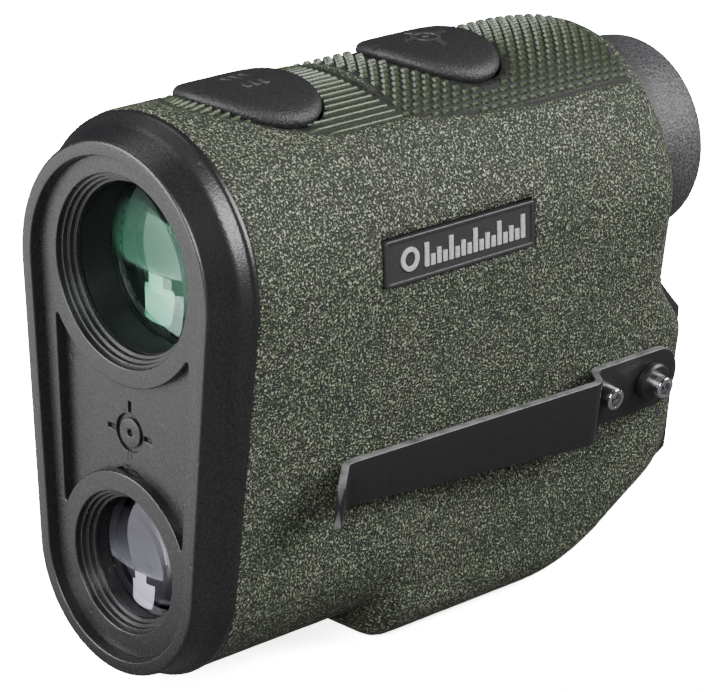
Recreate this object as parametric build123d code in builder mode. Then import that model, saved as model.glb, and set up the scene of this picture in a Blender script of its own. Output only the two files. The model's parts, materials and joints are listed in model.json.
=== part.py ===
from build123d import *
import math
import os

# A hand-held laser rangefinder: two stacked optical barrels in a rubber-armoured
# housing, with a twist-up eyepiece, two top buttons, a steel belt clip and a
# screw-capped battery tube.
# Frame: millimetres, +Z up, the lenses look along -Y, the eyepiece is at +Y and the
# belt clip is on +X. The origin is the centre of the flat that the belly rests on.

os.makedirs("parts", exist_ok=True)

# ---------------------------------------------------------------- driving sizes
FRONT_Y = -62.0            # the plane of the bezel's front rim
LOWER_AXIS_Z = 21.0        # receiver axis above the rest flat
AXIS_SPACING = 43.6        # receiver axis to viewing axis
TOP_R = 23.1               # outer radius of the armour round the viewing axis
LOW_R = 18.1               # outer radius of the armour round the receiver axis
ARMOR_T = 1.6              # rubber armour
WALL_T = 1.8               # housing wall
OBJECTIVE_R = 12.35        # clear radius in front of the objective
RECEIVER_R = 8.9           # clear radius in front of the receiver lens
EYE_TUBE_R = 13.2          # outside of the fixed eyepiece tube
CELL_R = 7.8               # CR2 battery
CELL_LENGTH = 27.0

# depths are measured rearwards from the front plane
BEZEL_DEPTH = 6.8
UPPER_REAR = 94.5          # rear face round the eyepiece
REAR_STEP = 7.0            # the rear face round the battery cap lies this much further back
BELLY_START = 40.0         # where the belly comes down to the rest flat
CUP_REACH = 12.1           # the folded eyecup reaches this far behind the upper rear face

RUNNING = 0.05             # radial clearance of parts that slide or turn in each other
LOOSE = 0.3                # clearance round a part that passes through a hole
FAR = 60.0                 # more than half of any side, for cuts that run right through

# ---------------------------------------------------------------- worked-out sizes
UPPER_AXIS_Z = LOWER_AXIS_Z + AXIS_SPACING
TOP_OVAL_Z = UPPER_AXIS_Z - 1.0
LOW_OVAL_Z = LOWER_AXIS_Z + 0.35
TOP_Z = TOP_OVAL_Z + TOP_R
BOTTOM_Z = LOW_OVAL_Z - LOW_R
SIDE_TILT = math.asin((TOP_R - LOW_R) / (TOP_OVAL_Z - LOW_OVAL_Z))
SHELL_T = ARMOR_T + WALL_T
EYE_SLEEVE_R = EYE_TUBE_R + 1.2
EYE_OUTER_R = EYE_SLEEVE_R + 1.6
LOWER_REAR = UPPER_REAR + REAR_STEP
OVERALL_DEPTH = UPPER_REAR + CUP_REACH


def across(depth):
    """A plane across the body at a depth: local x is X, local y is Z."""
    return Plane.XZ.offset(-(FRONT_Y + depth))


def along(x):
    """A plane along the body at x: local x is Y, local y is Z."""
    return Plane.YZ.offset(x)


def oval(top_r, low_r):
    """The body's tapered oval: the hull of a large circle above a smaller one."""
    with Locations((0, TOP_OVAL_Z)):
        Circle(top_r)
    with Locations((0, LOW_OVAL_Z)):
        Circle(low_r)
    make_hull()


def disc(depth, end, axis_z, radius, mode=Mode.ADD):
    """A round bar along Y from one depth to another."""
    with BuildSketch(across(depth)) as section:
        with Locations((0, axis_z)):
            Circle(radius)
    extrude(section.sketch, amount=depth - end, mode=mode)


def tube(depth, end, axis_z, outer, inner, mode=Mode.ADD):
    """A round tube along Y from one depth to another."""
    with BuildSketch(across(depth)) as section:
        with Locations((0, axis_z)):
            Circle(outer)
            Circle(inner, mode=Mode.SUBTRACT)
    extrude(section.sketch, amount=depth - end, mode=mode)


def block(depth, end, x_range, z_range, mode=Mode.ADD):
    """A box between two depths, two x values and two z values."""
    with BuildSketch(across(depth)) as section:
        with Locations(((x_range[0] + x_range[1]) / 2, (z_range[0] + z_range[1]) / 2)):
            Rectangle(x_range[1] - x_range[0], z_range[1] - z_range[0])
    extrude(section.sketch, amount=depth - end, mode=mode)


def lens(depth, axis_z, radius, sag, thickness, rear_sag):
    """A lens on a Y axis: a bulging front at depth, an edge, and a rear that bulges back."""
    y = FRONT_Y + depth
    rear = y + thickness

    def bulge(height, sagitta):
        if sagitta == 0:
            return 0.0
        ball = (radius**2 + sagitta**2) / (2 * sagitta)
        return ball - math.copysign(math.sqrt(ball**2 - height**2), ball)

    half = radius / 2
    with BuildSketch(Plane.YZ) as section:
        with BuildLine():
            ThreePointArc(
                (y, axis_z),
                (y + bulge(half, sag), axis_z + half),
                (y + sag, axis_z + radius),
            )
            Line((y + sag, axis_z + radius), (rear - rear_sag, axis_z + radius))
            if rear_sag == 0:
                Line((rear, axis_z + radius), (rear, axis_z))
            else:
                ThreePointArc(
                    (rear - rear_sag, axis_z + radius),
                    (rear - bulge(half, rear_sag), axis_z + half),
                    (rear, axis_z),
                )
            Line((rear, axis_z), (y, axis_z))
        make_face()
    revolve(section.sketch, axis=Axis((0, 0, axis_z), (0, 1, 0)))


# ---------------------------------------------------------------- the body's shape
BELLY_HALF = LOW_R - 2.1
BELLY_HEIGHT = 24.0
BELLY_CORNER = 9.0
REST_FRONT = BELLY_START + 4.0
REST_REAR = REST_FRONT + 36.0
SHOULDER_Z = UPPER_AXIS_Z - EYE_OUTER_R - 0.5
BULGE_TOP_Z = SHOULDER_Z - 7.0
BULGE_LOW_Z = LOWER_AXIS_Z - 3.6
REAR_CORNER = 10.0
TOP_REAR_CORNER = 8.0


def rear_limit(inset):
    """Blocks with rounded rear corners, one for each rear face, as seen from above."""
    with BuildPart() as limit:
        for low_z, high_z, rear in (
            (-1.0, SHOULDER_Z, LOWER_REAR),
            (SHOULDER_Z, TOP_Z + 1.0, UPPER_REAR),
        ):
            with BuildSketch(Plane.XY.offset(low_z)):
                with BuildLine():
                    half = TOP_R + 1.0
                    end = FRONT_Y + rear - inset
                    corner = REAR_CORNER + 1.0
                    FilletPolyline(
                        (-half, FRONT_Y - 5.0),
                        (-half, end),
                        (half, end),
                        (half, FRONT_Y - 5.0),
                        radius=corner,
                    )
                    Line((half, FRONT_Y - 5.0), (-half, FRONT_Y - 5.0))
                make_face()
            extrude(amount=high_z - low_z)
    return limit.part


def body_shape(inset):
    """The body's outer shape, drawn in all round by inset and open at its front."""
    limit = rear_limit(inset)
    start = FRONT_Y - 20.0
    with BuildPart() as body:
        with BuildSketch(across(BEZEL_DEPTH)):
            oval(TOP_R - inset, LOW_R - inset)
        extrude(amount=BEZEL_DEPTH - LOWER_REAR)
        with BuildSketch(across(BELLY_START + inset)):
            with Locations((0, BELLY_HEIGHT / 2)):
                RectangleRounded(
                    2 * (BELLY_HALF - inset), BELLY_HEIGHT - 2 * inset, BELLY_CORNER - inset
                )
        extrude(amount=BELLY_START + inset - LOWER_REAR)
        with BuildSketch(along(0)):
            with BuildLine():
                Polyline(
                    (start, TOP_Z),
                    (FRONT_Y + UPPER_REAR, TOP_Z),
                    (FRONT_Y + UPPER_REAR, SHOULDER_Z),
                    (FRONT_Y + LOWER_REAR, BULGE_TOP_Z),
                    (FRONT_Y + LOWER_REAR, BULGE_LOW_Z),
                    (FRONT_Y + REST_REAR, 0),
                    (FRONT_Y + REST_FRONT, 0),
                    (FRONT_Y + BELLY_START, BOTTOM_Z),
                    (start, BOTTOM_Z),
                    close=True,
                )
            make_face()
            fillet(
                vertices().filter_by(
                    lambda v: v.Y > TOP_Z - 0.01 and v.X > FRONT_Y
                ),
                TOP_REAR_CORNER,
            )
            if inset > 0:
                offset(amount=-inset, kind=Kind.INTERSECTION, mode=Mode.REPLACE)
        extrude(amount=FAR, both=True, mode=Mode.INTERSECT)
        add(limit, mode=Mode.INTERSECT)
    return body.part


OUTER = body_shape(0)
MIDDLE = body_shape(ARMOR_T)
INNER = body_shape(SHELL_T)

# ---------------------------------------------------------------- side planes
side_up = (math.sin(SIDE_TILT), 0, math.cos(SIDE_TILT))
side_out = (math.cos(SIDE_TILT), 0, -math.sin(SIDE_TILT))
CLIP_Z = LOWER_AXIS_Z + 11.9
clip_rise = (CLIP_Z - TOP_OVAL_Z + TOP_R * math.sin(SIDE_TILT)) / math.cos(SIDE_TILT)
clip_x = TOP_R * math.cos(SIDE_TILT) + clip_rise * math.sin(SIDE_TILT)
clip_origin = (clip_x, FRONT_Y, CLIP_Z)
# local x is the depth, local y runs up the side, local z stands out of it
clip_side = Plane(origin=clip_origin, x_dir=(0, 1, 0), z_dir=side_out)
# local x is the depth, local y stands out of the side
clip_plan = Plane(origin=clip_origin, x_dir=(0, 1, 0), z_dir=tuple(-v for v in side_up))

BADGE_TURN = math.radians(3.2)
BADGE_DEPTH = 45.2
BADGE_LENGTH = 30.0
BADGE_HEIGHT = 6.8
BADGE_T = 1.0
BADGE_SINK = 0.7
badge_out = (math.cos(BADGE_TURN), 0, math.sin(BADGE_TURN))
badge_face = Plane(
    origin=(
        TOP_R * math.cos(BADGE_TURN),
        FRONT_Y + BADGE_DEPTH,
        TOP_OVAL_Z + TOP_R * math.sin(BADGE_TURN),
    ),
    x_dir=(0, 1, 0),
    z_dir=badge_out,
)

# ---------------------------------------------------------------- belt clip sizes
CLIP_T = 1.2
CLIP_PAD = 0.3
CLIP_BASE_REAR = LOWER_REAR - 5.9
CLIP_BASE_FRONT = CLIP_BASE_REAR - 19.4
CLIP_ARM_REAR = CLIP_BASE_FRONT - 2.4
CLIP_ARM_OUT = 4.9
CLIP_TIP = 25.3
CLIP_TIP_OUT = 0.9
CLIP_LIP = 19.6
CLIP_LIP_OUT = 5.6
CLIP_BASE_HALF = 4.9
CLIP_ARM_HALF = 5.2
CLIP_TIP_HALF = 3.5
CLIP_SCREWS = (CLIP_BASE_REAR - 15.7, CLIP_BASE_REAR - 6.0)
SCREW_R = 1.0
SCREW_HEAD_R = 1.75
SCREW_HEAD_H = 2.0
SCREW_SOCKET_R = 1.15
INSERT_R = 1.7
INSERT_LENGTH = 4.0
INSERT_BOSS_R = 3.0
WASHER_R = 3.1
WASHER_T = 1.4

# ---------------------------------------------------------------- eyepiece sizes
EYE_TUBE_START = UPPER_REAR - 30.5
EYE_TUBE_END = UPPER_REAR + 8.5
EYE_TUBE_BORE = EYE_TUBE_R - 1.4
EYECUP_START = UPPER_REAR + 0.2
EYECUP_RIM_R = EYE_OUTER_R - 0.5
EYECUP_HOLE_R = EYE_OUTER_R - 5.0
EYECUP_FLOOR = EYE_TUBE_END + 1.2
EYECUP_CHAMFER = 1.2
EYE_PORT_R = EYE_OUTER_R - 1.4

# ---------------------------------------------------------------- battery sizes
CAP_SEAT = LOWER_REAR - ARMOR_T
CELL_END = CAP_SEAT - 5.9
CELL_START = CELL_END - CELL_LENGTH
BATTERY_BORE = CELL_R + 0.3
BATTERY_TUBE_R = BATTERY_BORE + 1.5
BATTERY_Z = BULGE_LOW_Z + WALL_T + BATTERY_TUBE_R
BATTERY_TUBE_START = CELL_START - 5.0
CAP_PLUG_R = CELL_R + 1.1
CAP_PLUG_START = CELL_END + 0.6
CAP_R = CAP_PLUG_R + 1.7
CAP_FACE = CAP_SEAT + 3.1
TAB_AXIS = CAP_FACE - 0.7

# ---------------------------------------------------------------- button sizes
BUTTON_HALF = 11.4
BUTTON_FRONT = 10.0        # from the widest line forwards
BUTTON_REAR = 8.4          # from the widest line rearwards
BUTTON_FRONT_FULL = 0.50   # how far a quarter keeps straight before it bends
BUTTON_REAR_FULL = 0.70
BUTTON_RISE = 1.2
BUTTON_UNDER = 0.9         # room under a button, for its travel
BUTTON_DEPTHS = {"menu_button": 24.8, "measure_button": UPPER_REAR - 34.0}
STEM_R = 2.0
FOOT_R = 3.0
FOOT_T = 0.7
ROOF_Z = TOP_Z - SHELL_T
BOARD_TOP_Z = ROOF_Z - 3.2
SWITCH_TOP_Z = ROOF_Z - 1.8


def button_outline(depth, grow):
    """An egg seen from above: two curved quarters in front, and two fuller ones behind."""
    y = FRONT_Y + depth
    half = BUTTON_HALF + grow
    front = BUTTON_FRONT + grow
    rear = BUTTON_REAR + grow
    with BuildLine() as outline:
        for side in (-half, half):
            for reach, full in ((-front, BUTTON_FRONT_FULL), (rear, BUTTON_REAR_FULL)):
                Bezier((side, y), (side, y + full * reach), (full * side, y + reach), (0, y + reach))
    make_face(outline.edges())


# ---------------------------------------------------------------- front bezel
RIM_TOP_R = 19.8
RIM_LOW_R = 16.7
CREASE_DEPTH = 4.4
CREASE_TOP_R = 21.3
CREASE_LOW_R = 17.3
BEZEL_TOP_R = TOP_R - 0.2
BEZEL_LOW_R = LOW_R + 0.3
RIM_WIDTH = 2.1
FACE_DEPTH = 1.6           # the face lies this far behind the rim
PANEL_DEPTH = 1.5          # the panel lies this far behind the face
BORE_STEPS = 3
STEP_WIDTH = 0.5
STEP_DEPTH = 0.8
SPIGOT_END = BEZEL_DEPTH + 3.6
SPIGOT_T = 1.4
GASKET_T = 0.8
BARREL_START = 5.0         # the barrels plug into the back of the bezel
BARREL_T = 1.2
LENS_LAND = 0.55           # how far a lens reaches past its clear radius
LENS_R = OBJECTIVE_R + LENS_LAND
BARREL_R = LENS_R + BARREL_T
RECEIVER_LENS_R = RECEIVER_R + LENS_LAND
RECEIVER_BARREL_R = RECEIVER_LENS_R + BARREL_T

with BuildPart() as front_bezel:
    with BuildSketch(across(0)):
        oval(RIM_TOP_R, RIM_LOW_R)
    with BuildSketch(across(CREASE_DEPTH)):
        oval(CREASE_TOP_R, CREASE_LOW_R)
    loft(ruled=True)
    with BuildSketch(across(CREASE_DEPTH)):
        oval(CREASE_TOP_R, CREASE_LOW_R)
    with BuildSketch(across(BEZEL_DEPTH - GASKET_T)):
        oval(BEZEL_TOP_R, BEZEL_LOW_R)
    loft(ruled=True)
    with BuildSketch(across(BEZEL_DEPTH - GASKET_T)):
        oval(TOP_R - SHELL_T - RUNNING, LOW_R - SHELL_T - RUNNING)
    extrude(amount=BEZEL_DEPTH - GASKET_T - SPIGOT_END)
    with BuildSketch(across(BEZEL_DEPTH)):
        oval(TOP_R - SHELL_T - SPIGOT_T, LOW_R - SHELL_T - SPIGOT_T)
    extrude(amount=BEZEL_DEPTH - SPIGOT_END, mode=Mode.SUBTRACT)
    with BuildSketch(across(0)):
        oval(RIM_TOP_R - RIM_WIDTH, RIM_LOW_R - RIM_WIDTH)
    extrude(amount=-FACE_DEPTH, mode=Mode.SUBTRACT)
    with BuildSketch(across(FACE_DEPTH)):
        oval(RIM_TOP_R - 3 * RIM_WIDTH, RIM_LOW_R - 3 * RIM_WIDTH)
        with Locations((0, UPPER_AXIS_Z)):
            Circle(OBJECTIVE_R + 4.5, mode=Mode.SUBTRACT)
        with Locations((0, LOWER_AXIS_Z)):
            Circle(RECEIVER_R + 4.5, mode=Mode.SUBTRACT)
    extrude(amount=-PANEL_DEPTH, mode=Mode.SUBTRACT)
    for bore_z, bore_r, seat_r in (
        (UPPER_AXIS_Z, OBJECTIVE_R, BARREL_R),
        (LOWER_AXIS_Z, RECEIVER_R, RECEIVER_BARREL_R),
    ):
        disc(0, SPIGOT_END, bore_z, bore_r, mode=Mode.SUBTRACT)
        disc(BARREL_START, SPIGOT_END, bore_z, seat_r, mode=Mode.SUBTRACT)
        for step in range(BORE_STEPS):
            step_end = FACE_DEPTH + STEP_DEPTH * (BORE_STEPS - step)
            step_r = bore_r + STEP_WIDTH * (step + 1)
            disc(0, step_end, bore_z, step_r, mode=Mode.SUBTRACT)
front_bezel.part.label = "front_bezel"
export_step(front_bezel.part, "parts/front_bezel.step")

with BuildPart() as bezel_gasket:
    with BuildSketch(across(BEZEL_DEPTH - GASKET_T)):
        oval(TOP_R - ARMOR_T, LOW_R - ARMOR_T)
        oval_cut = offset(amount=-(WALL_T - RUNNING), mode=Mode.PRIVATE)
        add(oval_cut, mode=Mode.SUBTRACT)
    extrude(amount=-GASKET_T)
bezel_gasket.part.label = "bezel_gasket"
export_step(bezel_gasket.part, "parts/bezel_gasket.step")

# ---------------------------------------------------------------- rubber armour
with BuildPart() as rubber_armor:
    add(OUTER)
    with BuildSketch(clip_side.offset(-ARMOR_T)):
        with Locations(((CLIP_BASE_FRONT + CLIP_BASE_REAR) / 2, 0)):
            RectangleRounded(
                CLIP_BASE_REAR - CLIP_BASE_FRONT, 2 * CLIP_BASE_HALF, CLIP_BASE_HALF - 0.4
            )
    extrude(amount=ARMOR_T + CLIP_PAD)
    add(MIDDLE, mode=Mode.SUBTRACT)
    for button_depth in BUTTON_DEPTHS.values():
        with BuildSketch(Plane.XY.offset(UPPER_AXIS_Z)):
            button_outline(button_depth, LOOSE)
        extrude(amount=FAR, mode=Mode.SUBTRACT)
    disc(UPPER_REAR - SHELL_T, OVERALL_DEPTH, UPPER_AXIS_Z, EYE_PORT_R, mode=Mode.SUBTRACT)
    disc(CAP_SEAT, LOWER_REAR + 1.0, BATTERY_Z, CAP_R + 2 * LOOSE, mode=Mode.SUBTRACT)
    with BuildSketch(badge_face.offset(-BADGE_SINK)):
        Rectangle(BADGE_LENGTH, BADGE_HEIGHT)
    extrude(amount=BADGE_T + 1.0, mode=Mode.SUBTRACT)
    with BuildSketch(clip_side.offset(-SHELL_T)):
        with Locations(*[(screw_depth, 0) for screw_depth in CLIP_SCREWS]):
            Circle(SCREW_R + LOOSE)
    extrude(amount=SHELL_T + 1.0, mode=Mode.SUBTRACT)
rubber_armor.part.label = "rubber_armor"
export_step(rubber_armor.part, "parts/rubber_armor.step")

# ---------------------------------------------------------------- housing halves
between_tubes_z = (UPPER_AXIS_Z - EYE_TUBE_R + BATTERY_Z + BATTERY_TUBE_R) / 2
HOUSING_SCREWS = (
    (16.0, UPPER_AXIS_Z - 23.3),
    (LOWER_REAR - 11.5, between_tubes_z),
    (49.0, SHELL_T + 2.2),
)
HOUSING_SCREW_R = 0.8
HOUSING_HEAD_R = 1.5
HOUSING_HEAD_H = 1.2
HOUSING_POST_R = 2.6
HOUSING_SCREW_REACH = 4.5

with BuildPart() as screw_posts:
    for post_depth, post_z in HOUSING_SCREWS:
        with BuildSketch(along(0)):
            with Locations((FRONT_Y + post_depth, post_z)):
                Circle(HOUSING_POST_R)
        extrude(amount=FAR, both=True)
    add(MIDDLE, mode=Mode.INTERSECT)

with BuildPart() as housing_blank:
    add(MIDDLE)
    add(INNER, mode=Mode.SUBTRACT)
    add(screw_posts.part)
    for post_depth, post_z in HOUSING_SCREWS:
        with BuildSketch(along(-HOUSING_SCREW_REACH)):
            with Locations((FRONT_Y + post_depth, post_z)):
                Circle(HOUSING_SCREW_R)
        extrude(amount=2 * HOUSING_SCREW_REACH, mode=Mode.SUBTRACT)
        with BuildSketch(along(-HOUSING_SCREW_REACH)):
            with Locations((FRONT_Y + post_depth, post_z)):
                Circle(HOUSING_HEAD_R + LOOSE)
        extrude(amount=-FAR, mode=Mode.SUBTRACT)
    with BuildSketch(clip_side.offset(-ARMOR_T)):
        with Locations(*[(screw_depth, 0) for screw_depth in CLIP_SCREWS]):
            Circle(INSERT_BOSS_R)
    extrude(amount=-INSERT_LENGTH - 0.8)
    with BuildSketch(clip_side.offset(-ARMOR_T + 1.0)):
        with Locations(*[(screw_depth, 0) for screw_depth in CLIP_SCREWS]):
            Circle(INSERT_R)
    extrude(amount=-INSERT_LENGTH - 1.0, mode=Mode.SUBTRACT)
    for button_depth in BUTTON_DEPTHS.values():
        with BuildSketch(Plane.XY.offset(ROOF_Z - 1.0)):
            with Locations((0, FRONT_Y + button_depth)):
                Circle(STEM_R + LOOSE)
        extrude(amount=WALL_T + 2.0, mode=Mode.SUBTRACT)
    disc(EYE_TUBE_START, OVERALL_DEPTH, UPPER_AXIS_Z, EYE_TUBE_R, mode=Mode.SUBTRACT)
    disc(CAP_SEAT - WALL_T - 1.0, LOWER_REAR, BATTERY_Z, BATTERY_TUBE_R, mode=Mode.SUBTRACT)

with BuildPart() as housing_left:
    add(housing_blank.part)
    split(bisect_by=Plane.YZ, keep=Keep.BOTTOM)
housing_left.part.label = "housing_left"
export_step(housing_left.part, "parts/housing_left.step")

with BuildPart() as housing_right:
    add(housing_blank.part)
    split(bisect_by=Plane.YZ, keep=Keep.TOP)
housing_right.part.label = "housing_right"
export_step(housing_right.part, "parts/housing_right.step")

with BuildPart() as housing_screws:
    for post_depth, post_z in HOUSING_SCREWS:
        with BuildSketch(along(-HOUSING_SCREW_REACH)):
            with Locations((FRONT_Y + post_depth, post_z)):
                Circle(HOUSING_SCREW_R)
        extrude(amount=2 * HOUSING_SCREW_REACH)
        with BuildSketch(along(-HOUSING_SCREW_REACH)):
            with Locations((FRONT_Y + post_depth, post_z)):
                Circle(HOUSING_HEAD_R)
        extrude(amount=-HOUSING_HEAD_H)
housing_screws.part.label = "housing_screws"
export_step(housing_screws.part, "parts/housing_screws.step")

# ---------------------------------------------------------------- badge plate
BADGE_BORDER = 0.6
BADGE_FIELD_DEPTH = 0.25

with BuildPart() as badge_plate:
    with BuildSketch(badge_face.offset(-BADGE_SINK)):
        Rectangle(BADGE_LENGTH, BADGE_HEIGHT)
    extrude(amount=BADGE_T)
    with BuildSketch(badge_face.offset(BADGE_T - BADGE_SINK)):
        Rectangle(BADGE_LENGTH - 2 * BADGE_BORDER, BADGE_HEIGHT - 2 * BADGE_BORDER)
    extrude(amount=-BADGE_FIELD_DEPTH, mode=Mode.SUBTRACT)
badge_plate.part.label = "badge_plate"
export_step(badge_plate.part, "parts/badge_plate.step")

# ---------------------------------------------------------------- belt clip
strap_low = CLIP_PAD
strap_out = CLIP_PAD + CLIP_T

with BuildPart() as belt_clip:
    with BuildSketch(clip_plan):
        with BuildLine():
            Polyline(
                (CLIP_BASE_REAR, strap_low),
                (CLIP_BASE_FRONT, strap_low),
                (CLIP_ARM_REAR + 0.4, CLIP_ARM_OUT - 0.6),
                (CLIP_TIP, CLIP_TIP_OUT - CLIP_T / 2),
                (CLIP_LIP, CLIP_LIP_OUT - CLIP_T / 2),
                (CLIP_LIP + 0.9, CLIP_LIP_OUT + 0.3),
                (CLIP_TIP + 0.3, CLIP_TIP_OUT + CLIP_T * 0.75),
                (CLIP_ARM_REAR + 0.6, CLIP_ARM_OUT + CLIP_T / 2),
                (CLIP_BASE_FRONT + 0.9, strap_out),
                (CLIP_BASE_REAR, strap_out),
                close=True,
            )
        make_face()
    extrude(amount=FAR / 4, both=True)
    with BuildSketch(clip_side.offset(-1.0)):
        with BuildLine():
            Polyline(
                (CLIP_LIP, -CLIP_TIP_HALF + 0.3),
                (CLIP_TIP, -CLIP_TIP_HALF),
                (CLIP_ARM_REAR, -CLIP_ARM_HALF),
                (CLIP_BASE_FRONT, -CLIP_BASE_HALF),
                (CLIP_BASE_REAR, -CLIP_BASE_HALF),
                (CLIP_BASE_REAR, CLIP_BASE_HALF),
                (CLIP_BASE_FRONT, CLIP_BASE_HALF),
                (CLIP_ARM_REAR, CLIP_ARM_HALF),
                (CLIP_TIP, CLIP_TIP_HALF),
                (CLIP_LIP, CLIP_TIP_HALF - 0.3),
                close=True,
            )
        make_face()
        fillet(vertices().sort_by(Axis.X)[-2:], CLIP_BASE_HALF - 0.4)
    extrude(amount=FAR / 4, mode=Mode.INTERSECT)
    with BuildSketch(clip_side):
        with Locations(*[(screw_depth, 0) for screw_depth in CLIP_SCREWS]):
            Circle(SCREW_R)
    extrude(amount=FAR / 4, mode=Mode.SUBTRACT)
belt_clip.part.label = "belt_clip"
export_step(belt_clip.part, "parts/belt_clip.step")

with BuildPart() as clip_washer:
    with BuildSketch(clip_side.offset(strap_out)):
        with Locations((CLIP_SCREWS[1], 0)):
            Circle(WASHER_R)
            Circle(SCREW_R, mode=Mode.SUBTRACT)
    extrude(amount=WASHER_T)
clip_washer.part.label = "clip_washer"
export_step(clip_washer.part, "parts/clip_washer.step")

with BuildPart() as clip_screws:
    for screw_depth, seat in zip(CLIP_SCREWS, (strap_out, strap_out + WASHER_T)):
        with BuildSketch(clip_side.offset(-ARMOR_T - INSERT_LENGTH)):
            with Locations((screw_depth, 0)):
                Circle(SCREW_R)
        extrude(amount=ARMOR_T + INSERT_LENGTH + seat)
        with BuildSketch(clip_side.offset(seat)):
            with Locations((screw_depth, 0)):
                Circle(SCREW_HEAD_R)
        extrude(amount=SCREW_HEAD_H)
        with BuildSketch(clip_side.offset(seat + SCREW_HEAD_H / 2)):
            with Locations((screw_depth, 0)):
                RegularPolygon(SCREW_SOCKET_R, 6)
        extrude(amount=SCREW_HEAD_H, mode=Mode.SUBTRACT)
clip_screws.part.label = "clip_screws"
export_step(clip_screws.part, "parts/clip_screws.step")

with BuildPart() as clip_inserts:
    with BuildSketch(clip_side.offset(-ARMOR_T)):
        with Locations(*[(screw_depth, 0) for screw_depth in CLIP_SCREWS]):
            Circle(INSERT_R)
            Circle(SCREW_R, mode=Mode.SUBTRACT)
    extrude(amount=-INSERT_LENGTH)
clip_inserts.part.label = "clip_inserts"
export_step(clip_inserts.part, "parts/clip_inserts.step")

# ---------------------------------------------------------------- viewing optics
OBJECTIVE_LENS_DEPTH = 8.4
OBJECTIVE_SAG = 2.2
OBJECTIVE_T = 5.4
OBJECTIVE_REAR_SAG = 1.4
FLINT_DEPTH = OBJECTIVE_LENS_DEPTH + OBJECTIVE_T + 1.5
FLINT_SAG = 0.5
EDGE_GAP = 0.2             # a spacer stands off the curve of a lens by this much
FLINT_T = 2.4
PRISM_LENGTH = 20.0
PRISM_HALF = 8.0
PRISM_GAP = 0.2            # between the prism and its holder
PRISM_BEVEL = 5.0
HOLDER_T = 1.4
HOLDER_END_T = 2.0
PRISM_START = EYE_TUBE_START - HOLDER_END_T - 2.0 - PRISM_LENGTH
BARREL_END = PRISM_START - 3.0
BAFFLES = 3
BAFFLE_PITCH = (BARREL_END - FLINT_DEPTH - FLINT_T) / (BAFFLES + 1)
BAFFLE_T = 0.8
BAFFLE_R = OBJECTIVE_R - 2.2

with BuildPart() as objective_barrel:
    tube(BARREL_START, BARREL_END, UPPER_AXIS_Z, BARREL_R, LENS_R)
    for baffle in range(1, BAFFLES + 1):
        baffle_start = FLINT_DEPTH + FLINT_T + baffle * BAFFLE_PITCH
        tube(baffle_start, baffle_start + BAFFLE_T, UPPER_AXIS_Z, LENS_R, BAFFLE_R)
objective_barrel.part.label = "objective_barrel"
export_step(objective_barrel.part, "parts/objective_barrel.step")

with BuildPart() as objective_lens:
    lens(
        OBJECTIVE_LENS_DEPTH,
        UPPER_AXIS_Z,
        LENS_R,
        OBJECTIVE_SAG,
        OBJECTIVE_T,
        OBJECTIVE_REAR_SAG,
    )
objective_lens.part.label = "objective_lens"
export_step(objective_lens.part, "parts/objective_lens.step")

with BuildPart() as objective_flint:
    lens(FLINT_DEPTH, UPPER_AXIS_Z, LENS_R, -FLINT_SAG, FLINT_T, FLINT_SAG)
objective_flint.part.label = "objective_flint"
export_step(objective_flint.part, "parts/objective_flint.step")

with BuildPart() as objective_spacer:
    tube(
        OBJECTIVE_LENS_DEPTH + OBJECTIVE_T - OBJECTIVE_REAR_SAG + EDGE_GAP,
        FLINT_DEPTH - FLINT_SAG,
        UPPER_AXIS_Z,
        LENS_R,
        LENS_R - LENS_LAND,
    )
objective_spacer.part.label = "objective_spacer"
export_step(objective_spacer.part, "parts/objective_spacer.step")

with BuildPart() as objective_retainer:
    tube(
        BARREL_START,
        OBJECTIVE_LENS_DEPTH + OBJECTIVE_SAG - LOOSE,
        UPPER_AXIS_Z,
        LENS_R,
        OBJECTIVE_R,
    )
objective_retainer.part.label = "objective_retainer"
export_step(objective_retainer.part, "parts/objective_retainer.step")

with BuildPart() as prism_holder:
    block(
        BARREL_END,
        PRISM_START + PRISM_LENGTH + HOLDER_END_T,
        (-PRISM_HALF - HOLDER_T, PRISM_HALF + HOLDER_T),
        (UPPER_AXIS_Z - PRISM_HALF - HOLDER_T, UPPER_AXIS_Z + PRISM_HALF + HOLDER_T),
    )
    block(
        PRISM_START,
        PRISM_START + PRISM_LENGTH,
        (-PRISM_HALF, PRISM_HALF),
        (UPPER_AXIS_Z - PRISM_HALF, UPPER_AXIS_Z + PRISM_HALF),
        mode=Mode.SUBTRACT,
    )
    disc(BARREL_END, PRISM_START, UPPER_AXIS_Z, PRISM_HALF - 1.0, mode=Mode.SUBTRACT)
    disc(
        PRISM_START + PRISM_LENGTH,
        PRISM_START + PRISM_LENGTH + HOLDER_END_T,
        UPPER_AXIS_Z,
        PRISM_HALF - 2.0,
        mode=Mode.SUBTRACT,
    )
prism_holder.part.label = "prism_holder"
export_step(prism_holder.part, "parts/prism_holder.step")

prism_half = PRISM_HALF - PRISM_GAP
with BuildPart() as roof_prism:
    with BuildSketch(along(-prism_half)):
        with BuildLine():
            prism_y = FRONT_Y + PRISM_START + PRISM_GAP
            prism_end_y = FRONT_Y + PRISM_START + PRISM_LENGTH - PRISM_GAP
            Polyline(
                (prism_y, UPPER_AXIS_Z - prism_half),
                (prism_end_y - PRISM_BEVEL, UPPER_AXIS_Z - prism_half),
                (prism_end_y, UPPER_AXIS_Z - 1.0),
                (prism_end_y, UPPER_AXIS_Z + prism_half),
                (prism_y + PRISM_BEVEL, UPPER_AXIS_Z + prism_half),
                (prism_y, UPPER_AXIS_Z + 1.0),
                close=True,
            )
        make_face()
    extrude(amount=2 * prism_half)
roof_prism.part.label = "roof_prism"
export_step(roof_prism.part, "parts/roof_prism.step")

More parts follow.
